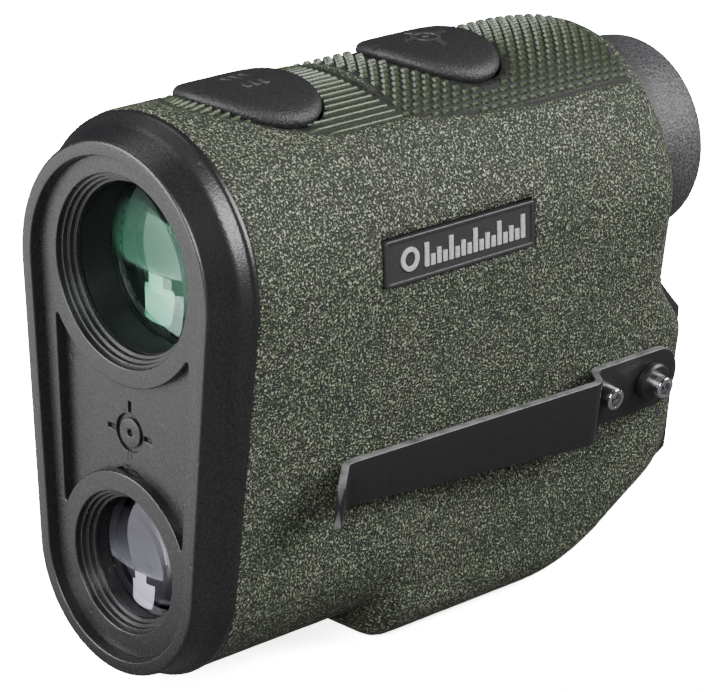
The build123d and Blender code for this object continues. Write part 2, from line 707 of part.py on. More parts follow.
DISPLAY_DEPTH = PRISM_START + PRISM_LENGTH + HOLDER_END_T
DISPLAY_T = 1.2
DISPLAY_HALF = 7.5
with BuildPart() as display_panel:
    block(
        DISPLAY_DEPTH,
        DISPLAY_DEPTH + DISPLAY_T,
        (-DISPLAY_HALF, DISPLAY_HALF),
        (UPPER_AXIS_Z - DISPLAY_HALF, UPPER_AXIS_Z + DISPLAY_HALF),
    )
display_panel.part.label = "display_panel"
export_step(display_panel.part, "parts/display_panel.step")

LASER_R = 2.8
LASER_LENGTH = 5.0
LASER_FLANGE = 0.6
LASER_FLANGE_T = 1.0
laser_top_z = UPPER_AXIS_Z - PRISM_HALF - HOLDER_T
laser_y = FRONT_Y + PRISM_START + PRISM_LENGTH / 2
with BuildPart() as laser_diode:
    with BuildSketch(Plane.XY.offset(laser_top_z - LASER_LENGTH)):
        with Locations((0, laser_y)):
            Circle(LASER_R)
    extrude(amount=LASER_LENGTH)
    with BuildSketch(Plane.XY.offset(laser_top_z - LASER_LENGTH - LASER_FLANGE_T)):
        with Locations((0, laser_y)):
            Circle(LASER_R + LASER_FLANGE)
    extrude(amount=LASER_FLANGE_T)
laser_diode.part.label = "laser_diode"
export_step(laser_diode.part, "parts/laser_diode.step")

# ---------------------------------------------------------------- receiver optics
RECEIVER_LENS_DEPTH = BARREL_START + 0.4
RECEIVER_LENS_T = 3.9
RECEIVER_SAG = 1.3
RECEIVER_REAR_SAG = 0.6
RECEIVER_BARREL_END = 32.0
RECEIVER_END_T = 2.0
SENSOR_R = 4.0
SENSOR_FLANGE_R = 5.0

with BuildPart() as receiver_barrel:
    tube(
        BARREL_START,
        RECEIVER_BARREL_END,
        LOWER_AXIS_Z,
        RECEIVER_BARREL_R,
        RECEIVER_LENS_R,
    )
    tube(
        RECEIVER_BARREL_END - RECEIVER_END_T,
        RECEIVER_BARREL_END,
        LOWER_AXIS_Z,
        RECEIVER_LENS_R,
        SENSOR_R,
    )
receiver_barrel.part.label = "receiver_barrel"
export_step(receiver_barrel.part, "parts/receiver_barrel.step")

with BuildPart() as receiver_lens:
    lens(
        RECEIVER_LENS_DEPTH,
        LOWER_AXIS_Z,
        RECEIVER_LENS_R,
        RECEIVER_SAG,
        RECEIVER_LENS_T,
        RECEIVER_REAR_SAG,
    )
receiver_lens.part.label = "receiver_lens"
export_step(receiver_lens.part, "parts/receiver_lens.step")

with BuildPart() as receiver_retainer:
    receiver_rear = RECEIVER_LENS_DEPTH + RECEIVER_LENS_T
    tube(receiver_rear, receiver_rear + 2.0, LOWER_AXIS_Z, RECEIVER_LENS_R, RECEIVER_R - 1.0)
receiver_retainer.part.label = "receiver_retainer"
export_step(receiver_retainer.part, "parts/receiver_retainer.step")

with BuildPart() as receiver_sensor:
    sensor_start = RECEIVER_BARREL_END - RECEIVER_END_T
    disc(sensor_start, RECEIVER_BARREL_END + 1.0, LOWER_AXIS_Z, SENSOR_R)
    disc(RECEIVER_BARREL_END + 1.0, RECEIVER_BARREL_END + 2.0, LOWER_AXIS_Z, SENSOR_FLANGE_R)
receiver_sensor.part.label = "receiver_sensor"
export_step(receiver_sensor.part, "parts/receiver_sensor.step")

# ---------------------------------------------------------------- electronics
BOARD_X = -(LOW_R - SHELL_T) + 1.6
BOARD_T = 1.0
BOARD_DEPTHS = (36.0, LOWER_REAR - 15.5)
BOARD_HEIGHTS = (LOWER_AXIS_Z - 5.0, UPPER_AXIS_Z - 17.0)
BOARD_SCREW_DEPTHS = (BOARD_DEPTHS[0] + 4.0, BOARD_DEPTHS[1] - 4.0)
BOARD_SCREW_Z = BOARD_HEIGHTS[1] - 2.5
BOARD_SCREW_HEAD_T = 1.0

with BuildPart() as main_board:
    block(*BOARD_DEPTHS, (BOARD_X, BOARD_X + BOARD_T), BOARD_HEIGHTS)
    with BuildSketch(along(BOARD_X)):
        with Locations(*[(FRONT_Y + d, BOARD_SCREW_Z) for d in BOARD_SCREW_DEPTHS]):
            Circle(HOUSING_SCREW_R)
    extrude(amount=BOARD_T, mode=Mode.SUBTRACT)
main_board.part.label = "main_board"
export_step(main_board.part, "parts/main_board.step")

# each chip: from and to along the board, from and to up the board, thickness
CHIPS = ((8.0, 18.0, 4.0, 14.0, 1.4), (8.0, 15.0, 17.0, 24.0, 1.0), (19.5, 24.0, 8.0, 12.5, 1.8))
with BuildPart() as board_chips:
    for chip_start, chip_end, chip_low, chip_high, chip_t in CHIPS:
        block(
            BOARD_DEPTHS[0] + chip_start,
            BOARD_DEPTHS[0] + chip_end,
            (BOARD_X + BOARD_T, BOARD_X + BOARD_T + chip_t),
            (BOARD_HEIGHTS[0] + chip_low, BOARD_HEIGHTS[0] + chip_high),
        )
board_chips.part.label = "board_chips"
export_step(board_chips.part, "parts/board_chips.step")

with BuildPart() as board_screws:
    for screw_depth in BOARD_SCREW_DEPTHS:
        with BuildSketch(along(BOARD_X)):
            with Locations((FRONT_Y + screw_depth, BOARD_SCREW_Z)):
                Circle(HOUSING_SCREW_R)
        extrude(amount=BOARD_T)
        with BuildSketch(along(BOARD_X + BOARD_T)):
            with Locations((FRONT_Y + screw_depth, BOARD_SCREW_Z)):
                Circle(HOUSING_HEAD_R)
        extrude(amount=BOARD_SCREW_HEAD_T)
board_screws.part.label = "board_screws"
export_step(board_screws.part, "parts/board_screws.step")

BUTTON_BOARD_HALF = 5.0
BUTTON_BOARD_T = 0.8
BUTTON_BOARD_PAST = 3.0    # past the middle of each button
BUTTON_BOARD_DEPTHS = (
    BUTTON_DEPTHS["menu_button"] - BUTTON_BOARD_PAST,
    BUTTON_DEPTHS["measure_button"] + BUTTON_BOARD_PAST,
)
with BuildPart() as button_board:
    block(
        *BUTTON_BOARD_DEPTHS,
        (-BUTTON_BOARD_HALF, BUTTON_BOARD_HALF),
        (BOARD_TOP_Z - BUTTON_BOARD_T, BOARD_TOP_Z),
    )
button_board.part.label = "button_board"
export_step(button_board.part, "parts/button_board.step")

SWITCH_SIZE = 4.2
SWITCH_CAN_T = 0.9
SWITCH_KEY_R = 1.2
with BuildPart() as tact_switches:
    for button_depth in BUTTON_DEPTHS.values():
        with BuildSketch(Plane.XY.offset(BOARD_TOP_Z)):
            with Locations((0, FRONT_Y + button_depth)):
                Rectangle(SWITCH_SIZE, SWITCH_SIZE)
        extrude(amount=SWITCH_CAN_T)
        with BuildSketch(Plane.XY.offset(BOARD_TOP_Z + SWITCH_CAN_T)):
            with Locations((0, FRONT_Y + button_depth)):
                Circle(SWITCH_KEY_R)
        extrude(amount=SWITCH_TOP_Z - BOARD_TOP_Z - SWITCH_CAN_T)
tact_switches.part.label = "tact_switches"
export_step(tact_switches.part, "parts/tact_switches.step")

RIBBON_T = 0.3
RIBBON_X = -PRISM_HALF - HOLDER_T - 1.2
RIBBON_DEPTHS = (PRISM_START + 6.0, PRISM_START + 12.0)
RIBBON_FOOT_Z = BOARD_HEIGHTS[1] - 4.0
RIBBON_TOP_Z = BOARD_TOP_Z - BUTTON_BOARD_T
RIBBON_LAP = 2.0           # how far it runs on under the button board
with BuildPart() as ribbon_cable:
    block(*RIBBON_DEPTHS, (RIBBON_X, RIBBON_X + RIBBON_T), (RIBBON_FOOT_Z, RIBBON_TOP_Z - RIBBON_T))
    block(*RIBBON_DEPTHS, (BOARD_X + BOARD_T, RIBBON_X), (RIBBON_FOOT_Z, RIBBON_FOOT_Z + RIBBON_T))
    block(
        *RIBBON_DEPTHS,
        (RIBBON_X, -BUTTON_BOARD_HALF + RIBBON_LAP),
        (RIBBON_TOP_Z - RIBBON_T, RIBBON_TOP_Z),
    )
ribbon_cable.part.label = "ribbon_cable"
export_step(ribbon_cable.part, "parts/ribbon_cable.step")

# ---------------------------------------------------------------- buttons
for button_name, button_depth in BUTTON_DEPTHS.items():
    with BuildPart() as button:
        with BuildSketch(Plane.XY.offset(UPPER_AXIS_Z)):
            button_outline(button_depth, 0)
        extrude(amount=FAR / 2)
        with BuildSketch(across(button_depth - 2 * BUTTON_HALF)):
            with Locations((0, TOP_OVAL_Z)):
                Circle(TOP_R + BUTTON_RISE)
                Circle(TOP_R - ARMOR_T + BUTTON_UNDER, mode=Mode.SUBTRACT)
        extrude(amount=-4 * BUTTON_HALF, mode=Mode.INTERSECT)
        with BuildSketch(Plane.XY.offset(ROOF_Z - LOOSE - FOOT_T)):
            with Locations((0, FRONT_Y + button_depth)):
                Circle(FOOT_R)
        extrude(amount=FOOT_T)
        with BuildSketch(Plane.XY.offset(ROOF_Z - LOOSE)):
            with Locations((0, FRONT_Y + button_depth)):
                Circle(STEM_R)
        extrude(amount=SHELL_T)
    button.part.label = button_name
    export_step(button.part, f"parts/{button_name}.step")

# ---------------------------------------------------------------- eyepiece
with BuildPart() as eyepiece_tube:
    tube(EYE_TUBE_START, EYE_TUBE_END, UPPER_AXIS_Z, EYE_TUBE_R, EYE_TUBE_BORE)
eyepiece_tube.part.label = "eyepiece_tube"
export_step(eyepiece_tube.part, "parts/eyepiece_tube.step")

with BuildPart() as diopter_ring:
    tube(EYECUP_START, EYE_TUBE_END, UPPER_AXIS_Z, EYE_SLEEVE_R, EYE_TUBE_R + RUNNING)
diopter_ring.part.label = "diopter_ring"
export_step(diopter_ring.part, "parts/diopter_ring.step")

with BuildPart() as eyecup:
    with BuildSketch(along(0)):
        with BuildLine():
            cup_y = FRONT_Y + EYECUP_START
            rim_y = FRONT_Y + OVERALL_DEPTH
            floor_y = FRONT_Y + EYECUP_FLOOR
            Polyline(
                (cup_y, UPPER_AXIS_Z + EYE_SLEEVE_R + RUNNING),
                (cup_y, UPPER_AXIS_Z + EYE_OUTER_R),
                (rim_y - EYECUP_CHAMFER, UPPER_AXIS_Z + EYECUP_RIM_R),
                (rim_y, UPPER_AXIS_Z + EYECUP_RIM_R - EYECUP_CHAMFER),
                (rim_y, UPPER_AXIS_Z + EYECUP_HOLE_R + EYECUP_CHAMFER),
                (rim_y - EYECUP_CHAMFER, UPPER_AXIS_Z + EYECUP_HOLE_R),
                (floor_y, UPPER_AXIS_Z + EYECUP_HOLE_R),
                (floor_y, UPPER_AXIS_Z + EYE_SLEEVE_R + RUNNING),
                close=True,
            )
        make_face()
    revolve(axis=Axis((0, 0, UPPER_AXIS_Z), (0, 1, 0)))
eyecup.part.label = "eyecup"
export_step(eyecup.part, "parts/eyecup.step")

OCULAR_START = EYE_TUBE_END - 23.0
OCULAR_END = EYE_TUBE_END - 0.7
OCULAR_R = EYE_TUBE_BORE - RUNNING
OCULAR_BORE = OCULAR_R - 1.2
OCULAR_STOP_T = 2.0
OCULAR_STOP_R = OCULAR_BORE - 1.5
OCULAR_SPACER_T = 0.6
OCULAR_RETAINER_T = 0.8
FIELD_LENS_DEPTH = OCULAR_START + 4.0
EYE_LENS_DEPTH = OCULAR_END - 6.7
EYE_LENS_T = 4.5
EYE_LENS_SAG = 1.1

with BuildPart() as ocular_cell:
    tube(OCULAR_START, OCULAR_END, UPPER_AXIS_Z, OCULAR_R, OCULAR_BORE)
    tube(OCULAR_START, OCULAR_START + OCULAR_STOP_T, UPPER_AXIS_Z, OCULAR_BORE, OCULAR_STOP_R)
ocular_cell.part.label = "ocular_cell"
export_step(ocular_cell.part, "parts/ocular_cell.step")

with BuildPart() as field_lens:
    lens(FIELD_LENS_DEPTH, UPPER_AXIS_Z, OCULAR_BORE, EYE_LENS_SAG, EYE_LENS_T, EYE_LENS_SAG)
field_lens.part.label = "field_lens"
export_step(field_lens.part, "parts/field_lens.step")

with BuildPart() as ocular_spacer:
    tube(
        FIELD_LENS_DEPTH + EYE_LENS_T - EYE_LENS_SAG + EDGE_GAP,
        EYE_LENS_DEPTH + EYE_LENS_SAG - EDGE_GAP,
        UPPER_AXIS_Z,
        OCULAR_BORE,
        OCULAR_BORE - OCULAR_SPACER_T,
    )
ocular_spacer.part.label = "ocular_spacer"
export_step(ocular_spacer.part, "parts/ocular_spacer.step")

with BuildPart() as eye_lens:
    lens(EYE_LENS_DEPTH, UPPER_AXIS_Z, OCULAR_BORE, EYE_LENS_SAG, EYE_LENS_T, EYE_LENS_SAG)
eye_lens.part.label = "eye_lens"
export_step(eye_lens.part, "parts/eye_lens.step")

with BuildPart() as ocular_retainer:
    retainer_start = EYE_LENS_DEPTH + EYE_LENS_T - EYE_LENS_SAG + EDGE_GAP
    retainer_r = OCULAR_BORE - OCULAR_RETAINER_T
    tube(retainer_start, OCULAR_END - LOOSE, UPPER_AXIS_Z, OCULAR_BORE, retainer_r)
ocular_retainer.part.label = "ocular_retainer"
export_step(ocular_retainer.part, "parts/ocular_retainer.step")

# ---------------------------------------------------------------- battery
TUBE_FLOOR_T = 1.2
CONTACT_T = 0.4
CONTACT_R = CELL_R - 1.8
CELL_NUB_T = 0.8
CELL_NUB_R = 3.0
contact_start = BATTERY_TUBE_START + TUBE_FLOOR_T

with BuildPart() as battery_tube:
    tube(BATTERY_TUBE_START, CAP_SEAT, BATTERY_Z, BATTERY_TUBE_R, BATTERY_BORE)
    disc(BATTERY_TUBE_START, contact_start, BATTERY_Z, BATTERY_BORE)
    disc(CAP_PLUG_START - LOOSE, CAP_SEAT, BATTERY_Z, CAP_PLUG_R + RUNNING, mode=Mode.SUBTRACT)
battery_tube.part.label = "battery_tube"
export_step(battery_tube.part, "parts/battery_tube.step")

with BuildPart() as spring_contact:
    disc(contact_start, contact_start + CONTACT_T, BATTERY_Z, CONTACT_R)
spring_contact.part.label = "spring_contact"
export_step(spring_contact.part, "parts/spring_contact.step")

SPRING_WIRE_R = 0.25
SPRING_R = 4.6
SPRING_TURNS = 3
SPRING_GAP = 0.1           # between the spring and the cell
spring_start = contact_start + CONTACT_T + SPRING_WIRE_R
spring_length = CELL_START - spring_start - SPRING_WIRE_R - SPRING_GAP
with BuildPart() as battery_spring:
    with BuildLine():
        coil = Helix(
            pitch=spring_length / SPRING_TURNS,
            height=spring_length,
            radius=SPRING_R,
            center=(0, FRONT_Y + spring_start, BATTERY_Z),
            direction=(0, 1, 0),
        )
    with BuildSketch(Plane(origin=coil @ 0, z_dir=coil % 0)):
        Circle(SPRING_WIRE_R)
    sweep(is_frenet=True)
battery_spring.part.label = "battery_spring"
export_step(battery_spring.part, "parts/battery_spring.step")

with BuildPart() as battery_cell:
    disc(CELL_START, CELL_END - CELL_NUB_T, BATTERY_Z, CELL_R)
    disc(CELL_END - CELL_NUB_T, CELL_END, BATTERY_Z, CELL_NUB_R)
battery_cell.part.label = "battery_cell"
export_step(battery_cell.part, "parts/battery_cell.step")

SEAL_START = CAP_PLUG_START + 2.0
SEAL_WIDTH = 1.0
SEAL_INNER = CAP_PLUG_R - 0.8

TAB_T = 1.2
TAB_R = CAP_R - 2.4
TAB_WIDTH = 3.0
TAB_KNUCKLE_R = 1.0
KNUCKLE_INSET = 0.2        # the knuckle is this much shorter than the tab at each end
TAB_PIN_R = 0.45
RECESS_R = TAB_R + 0.4
RECESS_FLOOR = CAP_FACE - 2.0
CAP_LIFT = 0.05            # the cap's flange stands this far off its seat
FLUTES = 20
FLUTE_R = 0.6
FLUTE_OUT = 0.25           # a flute's centre lies this far outside the rim
FLUTE_START = 0.8
PIN_WALL = 1.0             # cap wall left past each end of the pin

with BuildPart() as battery_cap:
    disc(CAP_PLUG_START, CAP_SEAT + 2 * CAP_LIFT, BATTERY_Z, CAP_PLUG_R)
    disc(CAP_SEAT + CAP_LIFT, CAP_FACE, BATTERY_Z, CAP_R)
    for flute in range(FLUTES):
        angle = 2 * math.pi * flute / FLUTES
        flute_x = (CAP_R + FLUTE_OUT) * math.cos(angle)
        flute_z = BATTERY_Z + (CAP_R + FLUTE_OUT) * math.sin(angle)
        with BuildSketch(across(CAP_SEAT + FLUTE_START)):
            with Locations((flute_x, flute_z)):
                Circle(FLUTE_R)
        extrude(amount=-FAR / 4, mode=Mode.SUBTRACT)
    with BuildSketch(across(RECESS_FLOOR)):
        with Locations((0, BATTERY_Z)):
            Circle(RECESS_R)
        with Locations((0, BATTERY_Z + TAB_KNUCKLE_R + 0.4 + RECESS_R)):
            Rectangle(4 * RECESS_R, 2 * RECESS_R, mode=Mode.SUBTRACT)
    extrude(amount=RECESS_FLOOR - CAP_FACE, mode=Mode.SUBTRACT)
    with BuildSketch(along(-CAP_R + PIN_WALL)):
        with Locations((FRONT_Y + TAB_AXIS, BATTERY_Z)):
            Circle(TAB_PIN_R)
    extrude(amount=2 * (CAP_R - PIN_WALL), mode=Mode.SUBTRACT)
    tube(SEAL_START, SEAL_START + SEAL_WIDTH, BATTERY_Z, CAP_R, SEAL_INNER, mode=Mode.SUBTRACT)
battery_cap.part.label = "battery_cap"
export_step(battery_cap.part, "parts/battery_cap.step")

with BuildPart() as cap_seal:
    tube(
        SEAL_START + RUNNING,
        SEAL_START + SEAL_WIDTH - RUNNING,
        BATTERY_Z,
        CAP_PLUG_R,
        SEAL_INNER + RUNNING,
    )
cap_seal.part.label = "cap_seal"
export_step(cap_seal.part, "parts/cap_seal.step")

with BuildPart() as cap_contact:
    disc(CAP_PLUG_START - CONTACT_T, CAP_PLUG_START, BATTERY_Z, CONTACT_R)
cap_contact.part.label = "cap_contact"
export_step(cap_contact.part, "parts/cap_contact.step")

with BuildPart() as cap_tab:
    with BuildSketch(across(TAB_AXIS - TAB_T / 2)):
        with Locations((0, BATTERY_Z)):
            Circle(TAB_R)
            Circle(TAB_R - TAB_WIDTH, mode=Mode.SUBTRACT)
        with Locations((0, BATTERY_Z + 2 * TAB_R)):
            Rectangle(4 * TAB_R, 4 * TAB_R, mode=Mode.SUBTRACT)
    extrude(amount=-TAB_T)
    with BuildSketch(along(-TAB_R + KNUCKLE_INSET)):
        with Locations((FRONT_Y + TAB_AXIS, BATTERY_Z)):
            Circle(TAB_KNUCKLE_R)
    extrude(amount=2 * (TAB_R - KNUCKLE_INSET))
    with BuildSketch(along(-TAB_R)):
        with Locations((FRONT_Y + TAB_AXIS, BATTERY_Z)):
            Circle(TAB_PIN_R + RUNNING)
    extrude(amount=2 * TAB_R, mode=Mode.SUBTRACT)
cap_tab.part.label = "cap_tab"
export_step(cap_tab.part, "parts/cap_tab.step")

with BuildPart() as tab_pin:
    with BuildSketch(along(-CAP_R + PIN_WALL)):
        with Locations((FRONT_Y + TAB_AXIS, BATTERY_Z)):
            Circle(TAB_PIN_R)
    extrude(amount=2 * (CAP_R - PIN_WALL))
tab_pin.part.label = "tab_pin"
export_step(tab_pin.part, "parts/tab_pin.step")
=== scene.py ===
# %% [markdown]
# # A hand-held laser rangefinder
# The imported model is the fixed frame: it gives every place and every moving body. This lesson
# dresses that frame. The rubber armour, bezel, buttons, clip and eyecup are new surfaces worked
# out with numpy, and each finish is a small shader. Sizes are in millimetres until a mesh is made.

# %% Load the frame
import json
import math
import bmesh
import bpy
import numpy as np
from mathutils import Matrix, Vector


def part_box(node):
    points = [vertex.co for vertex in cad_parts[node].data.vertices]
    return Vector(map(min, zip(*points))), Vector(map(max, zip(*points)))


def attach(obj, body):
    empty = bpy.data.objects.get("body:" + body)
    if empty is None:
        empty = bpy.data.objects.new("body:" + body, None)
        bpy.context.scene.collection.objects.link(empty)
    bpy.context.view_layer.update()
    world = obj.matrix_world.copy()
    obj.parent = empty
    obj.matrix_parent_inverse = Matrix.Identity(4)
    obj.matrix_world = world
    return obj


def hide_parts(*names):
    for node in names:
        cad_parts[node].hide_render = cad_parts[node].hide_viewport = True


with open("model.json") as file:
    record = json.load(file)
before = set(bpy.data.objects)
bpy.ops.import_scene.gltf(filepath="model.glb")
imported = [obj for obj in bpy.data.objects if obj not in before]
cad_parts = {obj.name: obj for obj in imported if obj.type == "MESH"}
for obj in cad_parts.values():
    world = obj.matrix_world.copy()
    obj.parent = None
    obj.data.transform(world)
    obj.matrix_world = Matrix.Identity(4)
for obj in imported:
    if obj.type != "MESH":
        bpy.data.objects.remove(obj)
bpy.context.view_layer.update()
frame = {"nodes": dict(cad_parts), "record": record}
MM = 0.001

# %% [markdown]
# ## The camera
# A long lens from half a metre keeps the body's lines almost parallel. The camera leans by less
# than a degree, as one held in the hand does. It is made first, so that every later render is seen
# from the angle that matters most.

# %% Camera
CAMERA_PLACE = Vector((356.28, -360.66, 222.20)) * MM
CAMERA_LOOK = Vector((-0.67403, 0.65591, -0.33979))
CAMERA_RIGHT = Vector((0.69375, 0.72008, 0.01384))
FOCAL_MM = 177.72

camera_data = bpy.data.cameras.new("camera")
camera_data.lens = FOCAL_MM
camera_data.sensor_width = 36.0
camera_data.clip_start = 0.02
camera_data.clip_end = 30.0
camera = bpy.data.objects.new("camera", camera_data)
camera_up = CAMERA_RIGHT.cross(CAMERA_LOOK)
camera.matrix_world = Matrix.Translation(CAMERA_PLACE) @ Matrix(
    (CAMERA_RIGHT, camera_up, -CAMERA_LOOK)
).transposed().to_4x4()
bpy.context.scene.collection.objects.link(camera)
bpy.context.scene.camera = camera
print("camera is", round(CAMERA_PLACE.length, 3), "m from the rest flat")

# %% [markdown]
# ## The studio
# Dark products are lit by what they mirror. Five soft boxes do the work: one high beside the
# camera, two in front, one behind on the right that runs a sheen along the shoulder, and a weak
# one overhead. The floor and the backdrop are pale to the camera and dimmer to every other ray,
# so that the black parts stay black. One patch of floor stays brighter, for the lenses to mirror.

# %% Floor and backdrop
def shader(name):
    """An empty node tree in a new material, with its output node."""
    material = bpy.data.materials.new(name)
    material.use_nodes = True
    tree = material.node_tree
    tree.nodes.clear()
    return material, tree, tree.nodes.new("ShaderNodeOutputMaterial")


def node(tree, kind, **values):
    """A new node, with its sockets set by name and its own settings by lower-case name."""
    made = tree.nodes.new(kind)
    for key, value in values.items():
        if key in made.inputs:
            made.inputs[key].default_value = value
        else:
            setattr(made, key, value)
    return made


def spread(tree, value, low, high, to_low=0.0, to_high=1.0):
    """A map-range node: value between low and high becomes to_low to to_high."""
    made = node(tree, "ShaderNodeMapRange", clamp=True)
    tree.links.new(value, made.inputs["Value"])
    made.inputs["From Min"].default_value = low
    made.inputs["From Max"].default_value = high
    made.inputs["To Min"].default_value = to_low
    made.inputs["To Max"].default_value = to_high
    return made.outputs["Result"]


def by_ray(tree, seen, unseen, output):
    """Shows the camera one shader and every other ray the other."""
    path = tree.nodes.new("ShaderNodeLightPath")
    mix = tree.nodes.new("ShaderNodeMixShader")
    tree.links.new(path.outputs["Is Camera Ray"], mix.inputs[0])
    tree.links.new(unseen.outputs[0], mix.inputs[1])
    tree.links.new(seen.outputs[0], mix.inputs[2])
    tree.links.new(mix.outputs[0], output.inputs["Surface"])


FLOOR_HALF = 6.0
FLOOR_SHADE, PATCH_SHADE = 0.12, 0.90
PATCH_CENTRE, PATCH_INNER, PATCH_OUTER = (-0.26, -0.34, 0.0), 0.32, 0.37
floor_mesh = bpy.data.meshes.new("floor")
floor_mesh.from_pydata(
    [(x * FLOOR_HALF, y * FLOOR_HALF, 0.0) for x, y in ((-1, -1), (1, -1), (1, 1), (-1, 1))],
    [],
    [(0, 1, 2, 3)],
)
floor = bpy.data.objects.new("floor", floor_mesh)
bpy.context.scene.collection.objects.link(floor)
floor_material, tree, output = shader("pale_floor")
seen = node(tree, "ShaderNodeBsdfDiffuse", Color=(26.0, 26.0, 26.2, 1.0))
unseen = tree.nodes.new("ShaderNodeBsdfDiffuse")
spot = tree.nodes.new("ShaderNodeNewGeometry")
from_patch = node(tree, "ShaderNodeVectorMath", operation="DISTANCE")
from_patch.inputs[1].default_value = PATCH_CENTRE
tree.links.new(spot.outputs["Position"], from_patch.inputs[0])
patch = spread(tree, from_patch.outputs["Value"], PATCH_INNER, PATCH_OUTER, PATCH_SHADE, FLOOR_SHADE)
tree.links.new(patch, unseen.inputs["Color"])
by_ray(tree, seen, unseen, output)
floor_mesh.materials.append(floor_material)

world = bpy.data.worlds.new("studio")
bpy.context.scene.world = world
world.use_nodes = True
tree = world.node_tree
tree.nodes.clear()
output = tree.nodes.new("ShaderNodeOutputWorld")
seen = node(tree, "ShaderNodeBackground", Color=(1.0, 1.0, 1.0, 1.0), Strength=40.0)
unseen = node(tree, "ShaderNodeBackground", Color=(0.85, 0.9, 1.0, 1.0), Strength=0.06)
by_ray(tree, seen, unseen, output)
print("floor is", 2 * FLOOR_HALF, "m wide, its bright patch", 2 * PATCH_OUTER, "m")

# %% Soft boxes
AIM = Vector((0.0, -10.0, 42.0)) * MM


def softbox(name, direction, distance, width, height, power):
    """A rectangular lamp at a distance along a direction from the object, turned to face it."""
    lamp = bpy.data.lights.new(name, "AREA")
    lamp.shape = "RECTANGLE"
    lamp.size = width
    lamp.size_y = height
    lamp.energy = power
    place = Vector(direction).normalized()
    holder = bpy.data.objects.new(name, lamp)
    holder.rotation_mode = "QUATERNION"
    holder.rotation_quaternion = place.to_track_quat("Z", "Y")
    holder.location = AIM + place * distance
    bpy.context.scene.collection.objects.link(holder)


softbox("key", (0.48, -0.75, 0.45), 0.80, 0.28, 0.42, 8.0)
softbox("front", (-0.50, -0.80, 0.34), 0.72, 0.40, 0.40, 6.5)
softbox("front_low", (-0.46, -0.88, 0.02), 0.80, 0.20, 0.12, 1.6)
softbox("shoulder", (0.56, 0.62, 0.50), 0.75, 0.34, 0.46, 8.5)
softbox("overhead", (-0.45, -0.10, 1.0), 0.90, 0.50, 0.50, 1.2)

# %% [markdown]
# ## Finishes
# Each effect that several materials share is a node group: grain gives a height and a colour
# mask from noise, and the edge group reads how near an edge a point is, a value stored on the
# mesh, for a painted highlight along edges. On the armour the pebble grain's masks paint shade
# into the hollows and highlights onto the tips. The Principled shader itself stays in each
# material, where its constants can be seen and changed.

# %% Shared shader groups
def group(name, ins, outs):
    """A shader node group with named number sockets, and its two end nodes."""
    made = bpy.data.node_groups.new(name, "ShaderNodeTree")
    for label, value in ins.items():
        socket = made.interface.new_socket(label, in_out="INPUT", socket_type="NodeSocketFloat")
        socket.default_value = value
    for label in outs:
        made.interface.new_socket(label, in_out="OUTPUT", socket_type="NodeSocketFloat")
    return made, made.nodes.new("NodeGroupInput"), made.nodes.new("NodeGroupOutput")


def math_node(tree, operation, first, second, third=None):
    """A maths node whose operands are sockets or plain numbers."""
    made = tree.nodes.new("ShaderNodeMath")
    made.operation = operation
    for place, value in enumerate((first, second, third)):
        if value is None:
            continue
        if isinstance(value, (int, float)):
            made.inputs[place].default_value = value
        else:
            tree.links.new(value, made.inputs[place])
    return made.outputs[0]


def texture(tree, kind, scale, **values):
    """A texture read from Object coordinates; its scale is a number or another node's output."""
    made = node(tree, kind, **values)
    place = tree.nodes.new("ShaderNodeTexCoord")
    tree.links.new(place.outputs["Object"], made.inputs["Vector"])
    if isinstance(scale, float):
        made.inputs["Scale"].default_value = scale
    else:
        tree.links.new(scale, made.inputs["Scale"])
    return made


pebble_group, gin, gout = group(
    "pebble", {"Scale": 1500.0, "Stretch": 0.5}, ("Height", "Mask", "PaintedHighlight", "Blotch")
)
wide_scale = math_node(pebble_group, "MULTIPLY", gin.outputs["Scale"], 1.25)
cells = texture(pebble_group, "ShaderNodeTexVoronoi", gin.outputs["Scale"],
                feature="SMOOTH_F1", Smoothness=0.6)
fine = texture(pebble_group, "ShaderNodeTexNoise", wide_scale, Detail=1.0, Roughness=0.5, Distortion=0.35)
broad = texture(pebble_group, "ShaderNodeTexNoise", 95.0, Detail=2.0)
bumps = spread(pebble_group, cells.outputs["Distance"], 0.05, 0.75, 1.0, 0.0)
specks = spread(pebble_group, fine.outputs[0], 0.36, 0.66)
shared = math_node(pebble_group, "MULTIPLY", bumps, gin.outputs["Stretch"])
height = math_node(pebble_group, "ADD", shared, specks)
# Of these masks, the colour mask turns the hollows near black, a painted shade, and the tip mask turns the
# highest points pale, a painted highlight.
for label, value in {
    "Height": height,
    "Mask": spread(pebble_group, height, 0.55, 1.20),
    "PaintedHighlight": spread(pebble_group, height, 1.02, 1.38),
    "Blotch": spread(pebble_group, broad.outputs[0], 0.35, 0.65),
}.items():
    pebble_group.links.new(value, gout.inputs[label])

specks_group, gin, gout = group("moulded_grain", {"Scale": 2600.0, "Pits": 240.0}, ("Height", "Mask"))
fine = texture(specks_group, "ShaderNodeTexNoise", gin.outputs["Scale"], Detail=2.0, Roughness=0.6)
pits = texture(specks_group, "ShaderNodeTexVoronoi", gin.outputs["Pits"], feature="F1")
pit_mask = spread(specks_group, pits.outputs["Distance"], 0.07, 0.14, 1.0, 0.0)
grain_part = spread(specks_group, fine.outputs[0], 0.35, 0.68)
lowered = math_node(specks_group, "MULTIPLY_ADD", pit_mask, -3.0, grain_part)
specks_group.links.new(lowered, gout.inputs["Height"])
specks_group.links.new(grain_part, gout.inputs["Mask"])

